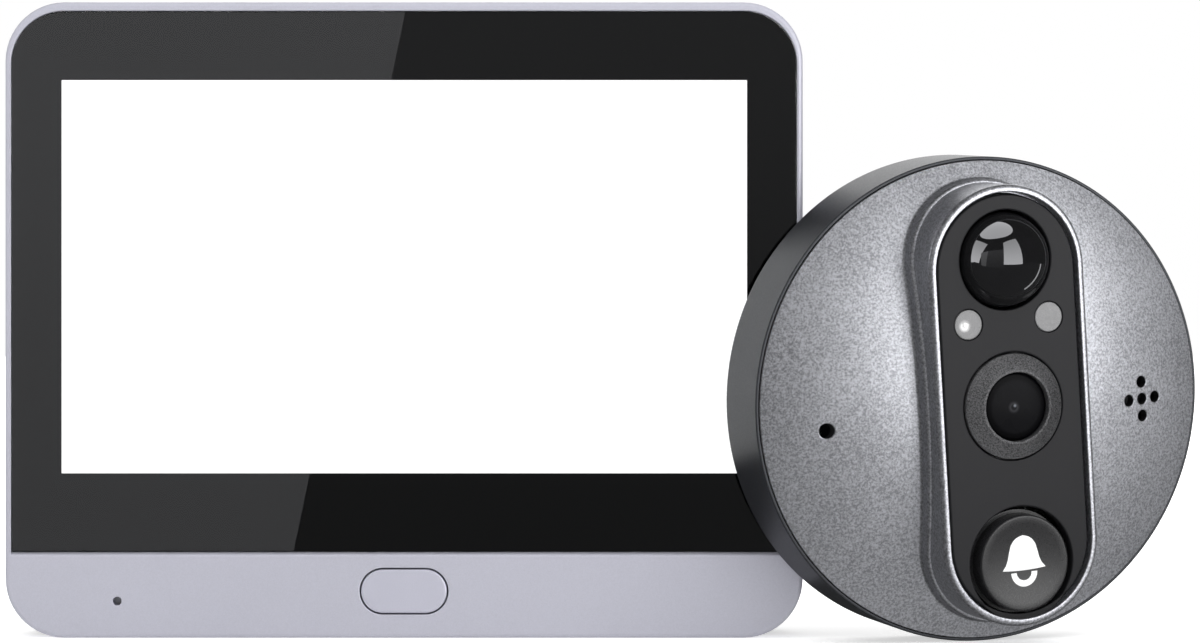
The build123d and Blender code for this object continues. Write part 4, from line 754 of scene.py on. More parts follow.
def window_clear():
    """Milky window: grey, and the left one has a darker rim and a painted sparkle where the lamp
    behind it reflects.
    """
    finish = Finish("window_clear")
    u, v, _ = finish.along(UNIT, (-LAMP_U, LAMP_V))
    away = radius_of(finish, u, v)
    left = u < LAMP_U
    # The lamp's sparkle is painted: bright cells near the left window's middle stand for light that
    # the lamp behind it reflects
    near = 1 - finish.between(radius_of(finish, u + 0.55, v + 0.1), 0.2, 1.0)
    painted_lamp_sparkle = left * near * (0.35 + finish.cell_shade(1500.0) * 0.65)
    rim = finish.between(away, 1.5, 2.0) * left
    ringed = finish.mixed(rim * 0.6, (0.088, 0.088, 0.092), (0.045, 0.045, 0.045))
    return finish.surface(
        Base_Color=finish.mixed(painted_lamp_sparkle, ringed, (0.95, 0.95, 0.95)),
        Roughness=finish.spread(finish.noise(2500.0, 1.0), 0.26, 0.38),
        Coat_Weight=0.5, Coat_Roughness=0.08)


def pad_foam():
    """Closed-cell foam: cut bubbles, with painted shade that darkens them inside."""
    finish = Finish("pad_foam")
    bubble = finish.cells(2600.0)
    # Painted shade: each cut bubble is darker towards its middle, where it is deepest
    painted_bubble_shade = 1 - finish.between(bubble, 0.1, 0.5)
    return finish.surface(
        Base_Color=finish.mixed(painted_bubble_shade, (0.035, 0.035, 0.037), (0.012, 0.012, 0.013)),
        Roughness=finish.between(bubble, 0.0, 0.6, 0.8, 0.95), Normal=finish.bump(bubble, 0.08))


FINISHES = {make.__name__: make for make in (
    flecked_silver, graphite, front_glass, black_print, display, pouch_foil, circuit_board,
    gloss_black, lens_black, window_clear, pad_foam)}
# Materials made so far, each under its slot's name
MADE = {}


def finish_of(slot):
    """The finish for a material slot, made the first time that it is asked for."""
    if slot not in MADE:
        if slot in PAINTS:
            MADE[slot] = painted(slot, *PAINTS[slot])
        elif slot in METALS:
            MADE[slot] = streaked(slot, *METALS[slot])
        else:
            MADE[slot] = FINISHES[slot]()
    return MADE[slot]


# Sizes and colours that a user would change

def millimetres(name, description, default, low, high):
    """A small size."""
    return bpy.props.FloatProperty(
        name=name, description=description + ", in millimetres", default=default, min=low, max=high)


def tone(name, description, default):
    """The colour of a finish."""
    return bpy.props.FloatVectorProperty(
        name=name, description=description, subtype="COLOR", default=default, min=0, max=1)


def brightness(name, description, default):
    """The brightness of a light."""
    return bpy.props.FloatProperty(
        name=name, description="Brightness of " + description, default=default, min=0)


class DoorbellSizes(bpy.types.PropertyGroup):
    """Sizes of the small rounds and grains that the photograph shows."""
    frame_round: millimetres("Frame Edge", "Round of the monitor's front edge", 0.6, 0.1, 1.0)
    hole_round: millimetres("Hole Edge", "Round of the holes in the dark panel", 0.22, 0.05, 0.4)
    lip_round: millimetres("Lip Edge", "Round of the lip's outer edge", 0.65, 0.1, 0.75)
    flake: millimetres("Paint Flake", "Size of a flake in the metallic paint", 0.19, 0.05, 1.0)
    grain_depth: millimetres("Grain Depth", "Depth of the paint's grain", 0.008, 0.0, 0.05)
    dome_spacing: millimetres("Dome Spacing", "Distance between the dome's points", 1.1, 0.5, 4.0)


class DoorbellColours(bpy.types.PropertyGroup):
    """Colours of the painted and moulded surfaces."""
    frame: tone("Frame", "Silver paint of the monitor's frame", (0.485, 0.485, 0.555))
    button: tone("Button", "Long button in the chin", (0.51, 0.51, 0.59))
    back: tone("Back", "Monitor's back shell", (0.06, 0.062, 0.068))
    screen: tone("Screen", "Lit screen", (1.0, 1.0, 1.0))
    shell: tone("Shell", "Metallic paint of the camera unit's face", (0.42, 0.426, 0.455))
    cup: tone("Cup", "Side wall of the camera unit", (0.035, 0.037, 0.042))
    panel: tone("Panel", "Dark panel of the capsule", (0.0125, 0.0125, 0.014))


class DoorbellStudio(bpy.types.PropertyGroup):
    """Camera and lights."""
    camera_place: bpy.props.FloatVectorProperty(
        name="Camera", description="Where the camera stands", subtype="TRANSLATION", unit="LENGTH",
        default=(0.02712, -0.50825, 0.04379))
    view_width: bpy.props.FloatProperty(
        name="View Width", description="Width of the picture at the monitor's front",
        default=0.166, min=0.05, unit="LENGTH")
    key: brightness("Key", "the cards on the left", 1.25)
    fill: brightness("Fill", "the surroundings on matt surfaces", 0.6)
    gloom: brightness("Gloom", "the surroundings in reflections", 0.04)
    windows: brightness("Windows", "the windows seen in the motion lens", 6.0)
    face: brightness("Face", "the card that the metallic face reflects", 5.0)
    overhead: brightness("Overhead", "the card above", 3.2)


class PieceOperator:
    """What the operators share: each makes its pieces from the sizes and colours of the scene."""
    bl_options = {"REGISTER", "UNDO"}

    @classmethod
    def poll(cls, context):
        return hasattr(context.scene, "doorbell_sizes")


class DOORBELL_OT_finishes(PieceOperator, bpy.types.Operator):
    """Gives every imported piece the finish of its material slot"""
    bl_idname = "doorbell.finishes"
    bl_label = "Finishes"

    def execute(self, context):
        for node in frame["nodes"].values():
            for slot in node.material_slots:
                slot.material = finish_of(slot.material.name.split(".")[0])
        return {"FINISHED"}


class DOORBELL_OT_front_frame(PieceOperator, bpy.types.Operator):
    """Makes the monitor's silver frame with its chin"""
    bl_idname = "doorbell.front_frame"
    bl_label = "Front Frame"

    def execute(self, context):
        ease = context.scene.doorbell_sizes.frame_round

        def outer(offset):
            """The frame's outline, drawn out by the offset."""
            return drawn_out(FRAME_LINE, offset)

        def opening(side, low):
            """The seat's outline, drawn out from its sides and its low edge."""
            return drawn_out(SEAT_LINE, side, low)[::-1]

        ledge = tuple((-LEDGE_IN, -LEDGE_IN, height) for height in (SEAT_FLOOR, FRAME_BACK))
        profile = eased([(-ease - 2 * HOLD, 0), (0, 0), (0, FRAME_BACK), (-FRAME_STEP, FRAME_BACK)],
                        [ease, 0.2], 8)
        seat = [lifted(opening(side, low), height) for side, low, height in SEAT_ROWS + ledge]
        parts = [carried(outer, profile), skin(seat)]
        tops = [outer(profile[0][0]), opening(*SEAT_ROWS[0][:2])]
        bottoms = [outer(-FRAME_STEP), opening(-LEDGE_IN, -LEDGE_IN)]
        for edge, hole_ease in ((lambda offset: pill(BUTTON_HOLE, -offset)[::-1], BUTTON_EASE),
                                (hole(CHIN_MIC_R, CHIN_MIC, 32), CHIN_MIC_EASE)):
            wall = eased([(-hole_ease - 2 * HOLD, 0), (0, 0), (0, FRAME_BACK)], [hole_ease])
            parts.append(carried(edge, wall))
            tops.append(edge(wall[0][0]))
            bottoms.append(edge(0))
        parts += [cap(tops, 0), cap(bottoms, FRAME_BACK, up=False)]
        piece("frame_surface", MONITOR, parts, "silver_paint", stands_for=["front_frame"])
        return {"FINISHED"}


class DOORBELL_OT_cover_glass(PieceOperator, bpy.types.Operator):
    """Makes the monitor's front glass, with ground edges"""
    bl_idname = "doorbell.cover_glass"
    bl_label = "Cover Glass"

    def execute(self, context):
        parts = plate([(lambda offset: drawn_out(GLASS_LINE, offset), 0.12, 0.06)],
                      GLASS_FACE, GLASS_BACK)
        piece("glass_surface", MONITOR, parts, "front_glass", stands_for=["cover_glass"])
        return {"FINISHED"}


class DOORBELL_OT_view_button(PieceOperator, bpy.types.Operator):
    """Makes the long button in the chin"""
    bl_idname = "doorbell.view_button"
    bl_label = "View Button"

    def execute(self, context):
        profile = eased([(BUTTON_FLAT, 0.0), (0, 0), (0, FLANGE_FRONT),
                         (BUTTON_FLANGE, FLANGE_FRONT), (BUTTON_FLANGE, FLANGE_BACK),
                         (BUTTON_FLAT, FLANGE_BACK)], [0.3, 0.0, 0.1, 0.1], 6)
        flat = pill(BUTTON, BUTTON_FLAT)
        parts = [carried(lambda offset: pill(BUTTON, offset), profile), cap([flat], 0.0),
                 cap([flat], FLANGE_BACK, up=False)]
        piece("button_surface", MONITOR, parts, "button_silver", "view_cap", ["view_button"])
        return {"FINISHED"}


def screw_parts(centre, head_r, top, head_t, length):
    """A pan head with a cross recess, on its shank: rings narrow from the head's edge to the
    cross, and the cross narrows to the recess's floor."""
    flat_r, under, end = head_r - HEAD_IN, top - head_t, top - head_t - length
    crown = eased([(flat_r, top), (head_r, top - HEAD_FALL), (head_r, under)], [HEAD_ROUND])
    shank = [(SHANK_R, under), (SHANK_R, end), (0, end - SCREW_POINT)]
    rows = [lifted(circle(radius, centre), height) for radius, height in [*crown, *shank]]
    arm = head_r * CROSS_ARM
    inside = [lifted(cross(arm * share, CROSS_HALF * share + TINY, centre), top + sink)
              for share, sink in CROSS_ROWS]
    rim = [lifted(circle(flat_r, centre), top), inside[0]]
    return [skin(rows), skin(rim[::-1]), skin(inside[::-1])]


class DOORBELL_OT_screws(PieceOperator, bpy.types.Operator):
    """Makes the screws on both backs, with their cross recesses"""
    bl_idname = "doorbell.screws"
    bl_label = "Screws"

    def execute(self, context):
        case = sum([screw_parts((-x, z), *CASE_SCREW) for x, z in CASE_SCREWS], [])
        piece("case_screw_heads", BEHIND, case, "screw_steel", stands_for=["housing_screws"])
        face = sum([screw_parts(tuple(spot), *FACE_SCREW) for spot in back_spots(-1)], [])
        piece("face_screw_heads", UNIT_BACK, face, "screw_steel", stands_for=["face_screws"])
        return {"FINISHED"}


class DOORBELL_OT_cup(PieceOperator, bpy.types.Operator):
    """Makes the round cup behind the camera unit's face"""
    bl_idname = "doorbell.cup"
    bl_label = "Cup"

    def execute(self, context):
        side = eased([(REBATE_R, REBATE_H), (REBATE_R, RIM_H), (CUP_R, RIM_H), (CUP_R, 0),
                      (CUP_FLAT, 0)], [0.04, 0.2, 0.9], 7)
        inside = [(PAD_BRIM, 0), (PAD_OUT, 0), (PAD_OUT, PAD_SINK), (PAD_IN, PAD_SINK), (PAD_IN, 0),
                  (BOSS_HOLE_R, 0), (BOSS_HOLE_R, CUP_FLOOR), (CUP_INNER, CUP_FLOOR),
                  (CUP_INNER, REBATE_H), (REBATE_R, REBATE_H)]
        parts = [turned(side, count=RIM_COUNT), turned(inside, count=RIM_COUNT)]
        outlines = [circle(CUP_FLAT, count=RIM_COUNT), circle(PAD_BRIM, count=RIM_COUNT)]
        for spot in back_spots():
            bore, middle = circle(BACK_BORE_R, spot, SMALL_COUNT), circle(0, spot, SMALL_COUNT)
            outlines.append(bore)
            rows = [lifted(bore, height) for height in (0, BACK_SINK)]
            parts += [skin(rows), skin([rows[1], lifted(middle, BACK_SINK)])]
        parts.append(cap(outlines, 0, up=False))
        piece("cup_surface", UNIT, parts, "cup_grey", stands_for=["door_housing"])
        return {"FINISHED"}


class DOORBELL_OT_face_shell(PieceOperator, bpy.types.Operator):
    """Makes the domed face with the flared capsule and its sound holes"""
    bl_idname = "doorbell.face_shell"
    bl_label = "Face Shell"

    def execute(self, context):
        sizes = context.scene.doorbell_sizes

        def around(offset):
            """The lip's outline, drawn out by the offset."""
            return capsule(LIP_L + 2 * offset, LIP_W + 2 * offset)

        cavity = capsule(CAVITY_L, CAVITY_W)
        lip = eased([(-LIP_WALL, LEDGE_H), (-LIP_WALL, LIP_H), (0, LIP_H), (0, LIP_H - LIP_FALL)],
                    [LIP_INNER_ROUND, sizes.lip_round], 9)
        # The shoulder runs round the lip at one height over the dome, so it sinks towards the ends
        shoulder = eased([(0, SHOULDER_FOOT), (0, 0), (SHOULDER_OUT, 0),
                          (SHOULDER_OUT, -SHOULDER_DROP)], SHOULDER_ROUNDS, 7)
        shoulder_h = dome_height(around(SHOULDER_OUT)) + SHOULDER_UP
        rows = [lifted(cavity, dome_height(cavity, SHELL_T)), lifted(cavity, LEDGE_H)]
        rows += [lifted(around(offset), height) for offset, height in lip]
        rows += [lifted(around(offset), shoulder_h + height) for offset, height in shoulder]
        # The foot's arc is tangent to the wall and to the dome: its centre stands over the dome by
        # its radius over the cosine of the dome's slope, and it turns from level to that slope.
        outwards = around(1) - around(0)
        middle = around(0) + (SHOULDER_OUT + FLARE_R) * outwards
        slope = np.arctan(
            -(middle * outwards).sum(1) / np.sqrt(DOME_R**2 - (middle**2).sum(1)))
        centre_h = dome_height(middle) + FLARE_R / np.cos(slope)
        for share in np.linspace(0, 1, FLARE_STEPS):
            turn = np.pi + share * (np.pi / 2 + slope)
            foot = middle + (FLARE_R * np.cos(turn))[:, None] * outwards
            rows.append(lifted(foot, centre_h + FLARE_R * np.sin(turn)))
        rows[-1] = lifted(foot, dome_height(foot))
        # Rim, from the dome over its edge and up inside
        edge = eased([(DOME_EDGE, dome_at(DOME_EDGE)), (SHELL_R, dome_at(SHELL_R)),
                      (SHELL_R, SHELL_LOW), (SHELL_INNER, SHELL_LOW),
                      (SHELL_INNER, dome_at(SHELL_INNER, SHELL_T))], [RIM_ROUND, 0.0, 0.0], 6)
        parts = [skin(rows), turned(edge, count=RIM_COUNT)]
        # Sound holes, eased at the dome and open below. Under the brim each hole's wall wears the
        # black rubber finish, which is painted shade in the hole.
        pitch = HOLE_PITCH * np.array([(0, 0), (1, 0), (-1, 0), (0, 1), (0, -1)])
        spots = [(HOLE_R, (SPEAKER_U + u, SPEAKER_V + v)) for u, v in pitch]
        above, below = [], []
        for radius, spot in [*spots, (MIC_HOLE_R, (MIC_U, MIC_V))]:
            brim = eased([(radius + SOUND_BRIM, 0), (radius, 0), (radius, -1)], [SOUND_ROUND])
            loops = [circle(out, spot, SOUND_COUNT)[::-1] for out, _ in brim]
            hole_rows = [lifted(loop, dome_height(loop) + drop)
                         for loop, (_, drop) in zip(loops, brim)]
            hole_rows[-1] = lifted(loops[-1], dome_height(loops[-1], SHELL_T))
            parts += [skin(hole_rows[:-1]), skin(hole_rows[-2:], 1)]
            above.append((radius + SOUND_BRIM, spot, SOUND_COUNT))
            below.append((radius, spot, SOUND_COUNT))
        outside, inside = circle(DOME_EDGE, count=RIM_COUNT), circle(SHELL_INNER, count=RIM_COUNT)
        parts += [scattered(outside, foot, above, sizes.dome_spacing, 0.0, True),
                  scattered(inside, cavity, below, INSIDE_SPACING, SHELL_T, False)]
        # The second finish, black rubber, is painted shade on the sound holes' walls
        piece("face_surface", UNIT, parts, "flecked_silver", stands_for=["face_shell"],
              finishes=["flecked_silver", "seal_rubber"])
        return {"FINISHED"}


class DOORBELL_OT_panel(PieceOperator, bpy.types.Operator):
    """Makes the dark panel in the capsule, with its five holes"""
    bl_idname = "doorbell.panel"
    bl_label = "Front Panel"

    def execute(self, context):
        ease = context.scene.doorbell_sizes.hole_round

        def outline(offset):
            """The opening's outline, less the gap and drawn out by the offset."""
            gap = PANEL_GAP - offset
            return stadium(OPENING_L - 2 * gap, OPENING_W - 2 * gap)

        edges = [(outline, PANEL_ROUND, PANEL_LOW),
                 (hole(PIR_HOLE_R, (0, PIR_V), HOLE_COUNT), ease, PANEL_LOW),
                 (hole(LAMP_R + LAMP_GAP, (-LAMP_U, LAMP_V)), LAMP_ROUND, PANEL_LOW),
                 (hole(LAMP_R + LAMP_GAP, (LAMP_U, LAMP_V)), LAMP_ROUND, PANEL_LOW),
                 (hole(RING_HOLE_R, (0, 0), HOLE_COUNT), ease, PANEL_LOW),
                 (hole(BELL_HOLE_R, (0, BELL_V), HOLE_COUNT), ease, PANEL_LOW)]
        piece("panel_surface", UNIT, plate(edges, PANEL_H, LEDGE_H), "panel_grey",
              stands_for=["front_panel"])
        return {"FINISHED"}


class DOORBELL_OT_motion_lens(PieceOperator, bpy.types.Operator):
    """Makes the glossy dome over the motion sensor"""
    bl_idname = "doorbell.motion_lens"
    bl_label = "Motion Lens"

    def execute(self, context):
        turn = np.linspace(0, np.pi / 2, 40)[:, None]
        thin, wide, top = PIR_R - PIR_SKIN, PIR_R + PIR_FLANGE_W, BOARD_FACE + PIR_FLANGE_T
        outside, inside = (
            np.hstack([radius * np.sin(turn), PIR_CENTRE_H + radius * np.cos(turn)])
            for radius in (PIR_R, thin))
        flange = [(PIR_R, top), (wide, top), (wide, BOARD_FACE), (thin, BOARD_FACE)]
        profile = np.concatenate([outside, flange, inside[::-1]])
        piece("motion_dome", UNIT, [turned(profile, (0, PIR_V), FINE_COUNT)], "gloss_black",
              stands_for=["pir_lens"])
        return {"FINISHED"}


class DOORBELL_OT_windows(PieceOperator, bpy.types.Operator):
    """Makes the two small round windows"""
    bl_idname = "doorbell.windows"
    bl_label = "Windows"

    def execute(self, context):
        top, stem_end, stem_r = PANEL_H - LAMP_GAP, BOARD_FACE + STEM_GAP, LAMP_R - STEM_IN
        profile = eased([(0, top + LAMP_CROWN), (LAMP_R, top), (LAMP_R, top - LAMP_T),
                         (stem_r, top - LAMP_T), (stem_r, stem_end), (0, stem_end)],
                        [0.15, 0.05, 0.0, 0.05])
        for name, side in (("lamp_window", -1), ("sensor_window", 1)):
            piece(name + "_pane", UNIT, [turned(profile, (side * LAMP_U, LAMP_V))], "window_clear",
                  stands_for=[name])
        return {"FINISHED"}


class DOORBELL_OT_lens(PieceOperator, bpy.types.Operator):
    """Makes the camera's cone ring and its front lens"""
    bl_idname = "doorbell.lens"
    bl_label = "Lens"

    def execute(self, context):
        wide = RING_R + RING_FLANGE_W
        ring = eased([(RING_BORE, RING_LOW), (RING_BORE, RING_TOP),
                      (RING_BORE + RING_CREST, RING_TOP), (RING_R, PANEL_H + RING_FOOT),
                      (RING_R, RING_FLANGE_H), (wide, RING_FLANGE_H), (wide, RING_LOW),
                      (RING_BORE, RING_LOW)], [0.1, 0.14, 0.12, 0.05, 0.1, 0.05], 5)
        piece("ring_surface", UNIT, [turned(ring, count=FINE_COUNT)], "panel_grey",
              stands_for=["lens_ring"], finishes=["ring_grey"])
        # The lens's crown is part of a ball, whose radius follows from the lens's and its bulge
        apex, crown_r = RING_TOP - LENS_SINK, LENS_R - LENS_EDGE
        edge = apex - LENS_BULGE
        ball_r = (LENS_R**2 + LENS_BULGE**2) / (2 * LENS_BULGE)
        turn = np.linspace(0, np.arcsin(crown_r / ball_r), 16)[:, None]
        crown = np.hstack([ball_r * np.sin(turn), apex - ball_r * (1 - np.cos(turn))])
        under = eased([(crown_r, crown[-1, 1]), (LENS_R, edge - LENS_EDGE / 2),
                       (LENS_R, edge - LENS_T), (0, edge - LENS_T)], [0.05, 0.05])
        profile = np.concatenate([crown[:-1], under])
        piece("lens_surface", UNIT, [turned(profile, count=FINE_COUNT)], "lens_black",
              stands_for=["lens_glass"])
        return {"FINISHED"}


def dish_depth(squared):
    """How far the bell button's dish lies under its edge, from the squared distance from its
    middle: the full depth, less its share of that square in the edge's own."""
    return DISH_DEPTH * (1 - np.minimum(squared / DISH_R**2, 1))


def dish_height(points):
    """Height of the bell button's top over its points."""
    return BELL_TOP - dish_depth(((points - (0, BELL_V)) ** 2).sum(1))


def bell_line(grow):
    """The bell's outline, drawn out along its normals: its flank goes through points from the brim
    up to the crown, and the brim is a shallow arc."""
    share = np.linspace(0, 1, 33)
    width = MARK_HALF * np.interp(share, MARK_UP, MARK_OUT)
    right = np.stack([width, MARK_BRIM + (MARK_CROWN - MARK_BRIM) * share], 1)
    left = right[-2::-1] * (-1, 1)
    across = np.linspace(-MARK_HALF, MARK_HALF, 17)[1:-1]
    low = np.stack([across, MARK_BRIM - MARK_SAG * (1 - (across / MARK_HALF) ** 2)], 1)
    points = np.concatenate([right, left, low])
    ahead = np.roll(points, -1, 0) - np.roll(points, 1, 0)
    outwards = np.stack([ahead[:, 1], -ahead[:, 0]], 1)
    outwards /= np.linalg.norm(ahead, axis=1)[:, None]
    return points + grow * outwards + (0, BELL_V)


def clapper_line(grow):
    """The clapper under the bell: a half ring, drawn out along its outer arc and back along its
    inner one."""
    turn = np.linspace(np.pi, 2 * np.pi, 21)
    arc = np.stack([np.cos(turn), np.sin(turn)], 1)
    outer, inner = CLAPPER_R + grow, CLAPPER_INNER - grow
    return np.concatenate([outer * arc, inner * arc[::-1]]) + (0, BELL_V - CLAPPER_DOWN)


class DOORBELL_OT_bell(PieceOperator, bpy.types.Operator):
    """Makes the round bell button and the white bell set into it"""
    bl_idname = "doorbell.bell"
    bl_label = "Bell Button"

    def execute(self, context):
        low, wide = PANEL_H - BELL_DEPTH, BELL_R + BELL_FLANGE_W
        shelf = low + BELL_FLANGE_T
        across = np.linspace(0, DISH_R, 15)
        dish = np.column_stack([across, BELL_TOP - dish_depth(across**2)])
        side = eased([(DISH_R, BELL_TOP), (BELL_R, BELL_TOP), (BELL_R, shelf), (wide, shelf),
                      (wide, low), (0, low)], [0.3, 0.05, 0.12, 0.05], 7)
        profile = np.concatenate([dish[:-1], side])
        piece("bell_cap_surface", UNIT, [turned(profile, (0, BELL_V), FINE_COUNT)], "panel_grey",
              "bell_cap", ["bell_button"], ["cap_grey"])
        parts = []
        for line in (bell_line, clapper_line):
            loops = [line(offset) for offset, _ in MARK_ROWS]
            rows = [lifted(loop, dish_height(loop) + rise)
                    for loop, (_, rise) in zip(loops, MARK_ROWS)]
            parts += [skin(rows), cap(loops[:1], rows[0][:, 2]),
                      cap(loops[-1:], rows[-1][:, 2], up=False)]
        piece("bell_mark", UNIT, parts, "icon_white", "bell_cap", ["bell_icon"])
        return {"FINISHED"}


class DOORBELL_OT_mounting(PieceOperator, bpy.types.Operator):
    """Makes the foam ring against the door and the threaded inserts"""
    bl_idname = "doorbell.mounting"
    bl_label = "Mounting"

    def execute(self, context):
        near, far = PAD_IN + PAD_GAP, PAD_OUT - PAD_GAP
        pad = eased([(near, PAD_SINK), (near, -PAD_PROUD), (far, -PAD_PROUD), (far, PAD_SINK),
                     (near, PAD_SINK)], [0.15, 0.15, 0.0])[::-1]
        piece("foam_ring", UNIT, [turned(pad, count=192)], "pad_foam", stands_for=["door_pad"])
        # Thread: the bore's radius swings between its crest and its root along the insert
        depth = np.linspace(0, INSERT_L, 129)[:, None]
        bore = INSERT_BORE + THREAD_DEPTH * np.abs(2 * ((depth / THREAD_PITCH) % 1) - 1)
        inner = np.hstack([bore, -BOSS_LENGTH + depth])
        outside = [(INSERT_R, -BOSS_LENGTH + INSERT_L), (INSERT_R, -BOSS_LENGTH + INSERT_CHAMFER),
                   (INSERT_R - INSERT_CHAMFER, -BOSS_LENGTH)]
        profile = np.concatenate([inner[-1:], outside, inner])
        parts = [turned(profile, (side * INSERT_U, 0), SMALL_COUNT) for side in (-1, 1)]
        piece("insert_threads", UNIT, parts, "brass", stands_for=["threaded_inserts"])
        return {"FINISHED"}


# Light cards. The tint of what polished surfaces see, then shares of the brightness that the user
# sets: the glass's dim card, the windows and the slit in the motion lens, the cards on the left,
# behind and all round. The table's brightness is its own.
POLISHED_TINT = (0.96, 0.965, 1.0, 1.0)
DIM_SHARE, WINDOW_SHARE, SLIT_SHARE = 0.32, 0.75, 0.6
LEFT_SHARE, BACK_SHARE, ROUND_SHARE, TABLE_GLOW = 0.36, 0.6, 0.095, 0.1
# Where the camera unit's middle is for the cards that are placed by bearings, in millimetres
UNIT_EYE = (80, -25, 61)


def card(name, corners, strength, polished=False, foot=1.0):
    """A flat light card in the studio, seen by the surfaces but not by the camera.

    A card for polished surfaces shows in them alone, and the others show in all but them. Each
    lets through what isn't meant for it. The foot is the share of the strength that its lower
    edge has."""
    mesh = bpy.data.meshes.new(name)
    mesh.from_pydata(np.array(corners, float) * MM, [], [list(range(len(corners)))])
    finish = Finish(name)
    sharp = finish.node("ShaderNodeLightPath", out="Is Singular Ray")
    heights = [corner[2] * MM for corner in corners]
    height = finish.node("ShaderNodeSeparateXYZ", {}, {0: finish.spot}, "Z")
    if foot != 1:
        strength = finish.between(height, min(heights), max(heights), strength * foot, strength)
    tint = POLISHED_TINT if polished else (1.0, 1.0, 1.0, 1.0)
    lit = finish.node("ShaderNodeEmission", {}, {"Color": tint, "Strength": strength})
    clear = finish.node("ShaderNodeBsdfTransparent")
    mix = finish.node("ShaderNodeMixShader", {}, {0: sharp, 1: clear if polished else lit,
                                                  2: lit if polished else clear})
    finish.node("ShaderNodeOutputMaterial", {}, {"Surface": mix})
    mesh.materials.append(finish.material)
    made = bpy.data.objects.new(name, mesh)
    made.visible_camera = made.visible_shadow = False
    made.visible_diffuse = not polished
    bpy.context.scene.collection.objects.link(made)
    return made


def sky_corners(eye, distance, bearings):
    """Corners of a card seen from a point: each has a bearing, counted from straight in front
    towards the right, and an elevation, both in degrees."""
    right, up = np.radians(np.array(bearings, float)).T
    ways = np.stack([np.sin(right) * np.cos(up), -np.cos(right) * np.cos(up), np.sin(up)], 1)
    return np.array(eye) + distance * ways


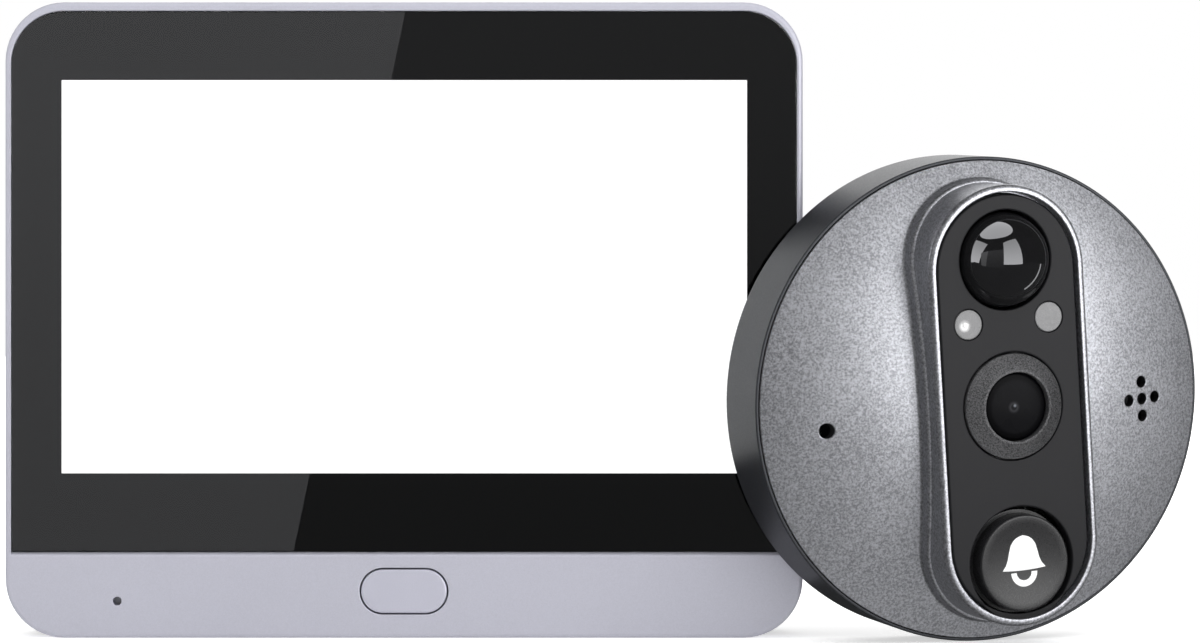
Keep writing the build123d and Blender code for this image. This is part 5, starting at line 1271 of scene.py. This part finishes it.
class DOORBELL_OT_studio(PieceOperator, bpy.types.Operator):
    """Sets up the floor, the surroundings, the light cards and the camera"""
    bl_idname = "doorbell.studio"
    bl_label = "Studio"

    def execute(self, context):
        scene, studio = context.scene, context.scene.doorbell_studio
        scene.view_settings.view_transform = "Standard"
        # The floor's paper glows more the further it is, until it meets the white behind
        mesh = bpy.data.meshes.new("floor")
        mesh.from_pydata([(-4, -4, 0), (4, -4, 0), (4, 4, 0), (-4, 4, 0)], [], [(0, 1, 2, 3)])
        finish = Finish("floor_paper")
        near = finish.node(
            "ShaderNodeVectorMath", {"operation": "LENGTH"}, {0: finish.spot}, "Value")
        mesh.materials.append(finish.surface(
            Base_Color=(0.8, 0.8, 0.8), Roughness=0.9, Specular_IOR_Level=0.0,
            Emission_Color=finish.ramp(near / 0.5, (0.0, 0.5), (0.2, 0.6), (0.5, 1.0)),
            Emission_Strength=1.0))
        floor = bpy.data.objects.new("floor", mesh)
        floor.visible_glossy = False
        scene.collection.objects.link(floor)

        # The surroundings are white to the camera, and have one brightness for what scatters their
        # light and another for what mirrors it
        world = bpy.data.worlds.new("studio")
        scene.world = world
        world.use_nodes = True
        sky = Nodes(world.node_tree)
        camera_ray, diffuse_ray = (sky.node("ShaderNodeLightPath", out=name)
                                   for name in ("Is Camera Ray", "Is Diffuse Ray"))
        strength = (camera_ray + diffuse_ray * studio.fill
                    + (1 - camera_ray) * (1 - diffuse_ray) * studio.gloom)
        white = sky.node("ShaderNodeBackground", {}, {"Color": (1, 1, 1, 1), "Strength": strength})
        sky.node("ShaderNodeOutputWorld", {}, {"Surface": white})

        # The first card's right edge leans as its mirror image does in the monitor's glass
        card("glass_card", [(-84, -150, 2), (-27.5, -150, 2), (-7, -150, 101), (-84, -150, 101)],
             studio.key, True, 0.8)
        card("dim_card", [(-27.5, -150, 2), (84, -150, 2), (84, -150, 101), (-7, -150, 101)],
             studio.key * DIM_SHARE, True, 0.5)
        for name, bearings in (
                ("left_window", ((-97, -7), (-59, -9), (-41, 33), (-95, 35))),
                ("right_window", ((2, -14), (49, -11), (42, 45), (2, 38)))):
            card(name, sky_corners(UNIT_EYE, 900, bearings), studio.windows * WINDOW_SHARE,
                 True, 1.6)
        lens_eye = UNIT((0, PIR_V, PIR_CENTRE_H)) / MM
        slit = ((97, -50), (104, -50), (104, -6), (100, -6))
        card("thin_window", sky_corners(lens_eye, 60, slit), studio.windows * SLIT_SHARE, True)
        oval = circle(1, count=40)
        card("top_window", lifted(oval * (560, 440) + (-130, -280), 910), studio.windows, True)
        card("table", [(-400, -200, 1), (600, -200, 1), (600, 400, 1), (-400, 400, 1)],
             TABLE_GLOW, True)

        card("left_card", [(-900, -700, 0), (-300, -900, 0), (-300, -900, 600), (-900, -700, 600)],
             studio.key * LEFT_SHARE)
        above = card("top_card", [(-700, -900, 900), (-700, -50, 900), (800, -50, 900),
                                  (800, -900, 900)], studio.overhead)
        above.visible_glossy = False
        made = [card(name, sky_corners(UNIT_EYE, distance, bearings), strength)
                for name, distance, bearings, strength in (
                    ("back_card", 1500, ((145, 2), (198, 2), (198, 48), (145, 48)),
                     studio.overhead * BACK_SHARE),
                    ("face_card", 400, ((24, -15), (64, -15), (64, 22), (24, 22)), studio.face),
                    ("wrap_card", 1800, ((-5, -58), (96, -58), (96, 56), (-5, 56)),
                     studio.face * ROUND_SHARE))]
        # The last two show in reflections alone
        for reflected in made[1:]:
            reflected.visible_diffuse = False

        # The focal length is the sensor's width times the distance, over the view's width there
        camera = bpy.data.cameras.new("camera")
        camera.sensor_fit = "HORIZONTAL"
        camera.sensor_width = 36.0
        away = FRONT_Y - studio.camera_place[1]
        camera.lens = camera.sensor_width * away / studio.view_width
        camera.clip_start, camera.clip_end = 0.01, 50.0
        eye = bpy.data.objects.new("camera", camera)
        eye.location = studio.camera_place
        eye.rotation_euler = (np.pi / 2, 0, 0)
        scene.collection.objects.link(eye)
        scene.camera = eye
        return {"FINISHED"}


OPERATORS = (DOORBELL_OT_finishes, DOORBELL_OT_front_frame, DOORBELL_OT_cover_glass,
             DOORBELL_OT_view_button, DOORBELL_OT_screws, DOORBELL_OT_cup, DOORBELL_OT_face_shell,
             DOORBELL_OT_panel, DOORBELL_OT_motion_lens, DOORBELL_OT_windows, DOORBELL_OT_lens,
             DOORBELL_OT_bell, DOORBELL_OT_mounting, DOORBELL_OT_studio)


class DOORBELL_PT_pieces(bpy.types.Panel):
    """Lists the pieces with the sizes and colours that they read"""
    bl_idname = "DOORBELL_PT_pieces"
    bl_label = "Video Doorbell"
    bl_space_type = "VIEW_3D"
    bl_region_type = "UI"
    bl_category = "Doorbell"

    def draw(self, context):
        for group in (context.scene.doorbell_sizes, context.scene.doorbell_colours,
                      context.scene.doorbell_studio):
            box = self.layout.box()
            for name in group.__annotations__:
                box.prop(group, name)
        for operator in OPERATORS:
            self.layout.operator(operator.bl_idname)


GROUPS = {"doorbell_sizes": DoorbellSizes, "doorbell_colours": DoorbellColours,
          "doorbell_studio": DoorbellStudio}
CLASSES = (*GROUPS.values(), *OPERATORS, DOORBELL_PT_pieces)


def register():
    """Registers the classes, and gives each scene its sizes, colours and studio."""
    for made in CLASSES:
        bpy.utils.register_class(made)
    for name, group in GROUPS.items():
        setattr(bpy.types.Scene, name, bpy.props.PointerProperty(type=group))


def unregister():
    """Takes away what register() gave."""
    for name in GROUPS:
        delattr(bpy.types.Scene, name)
    for made in reversed(CLASSES):
        bpy.utils.unregister_class(made)


def main():
    """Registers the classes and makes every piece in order."""
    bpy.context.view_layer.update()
    register()
    for operator in OPERATORS:
        getattr(bpy.ops.doorbell, operator.bl_idname.split(".")[1])()


if __name__ == "__main__":
    main()
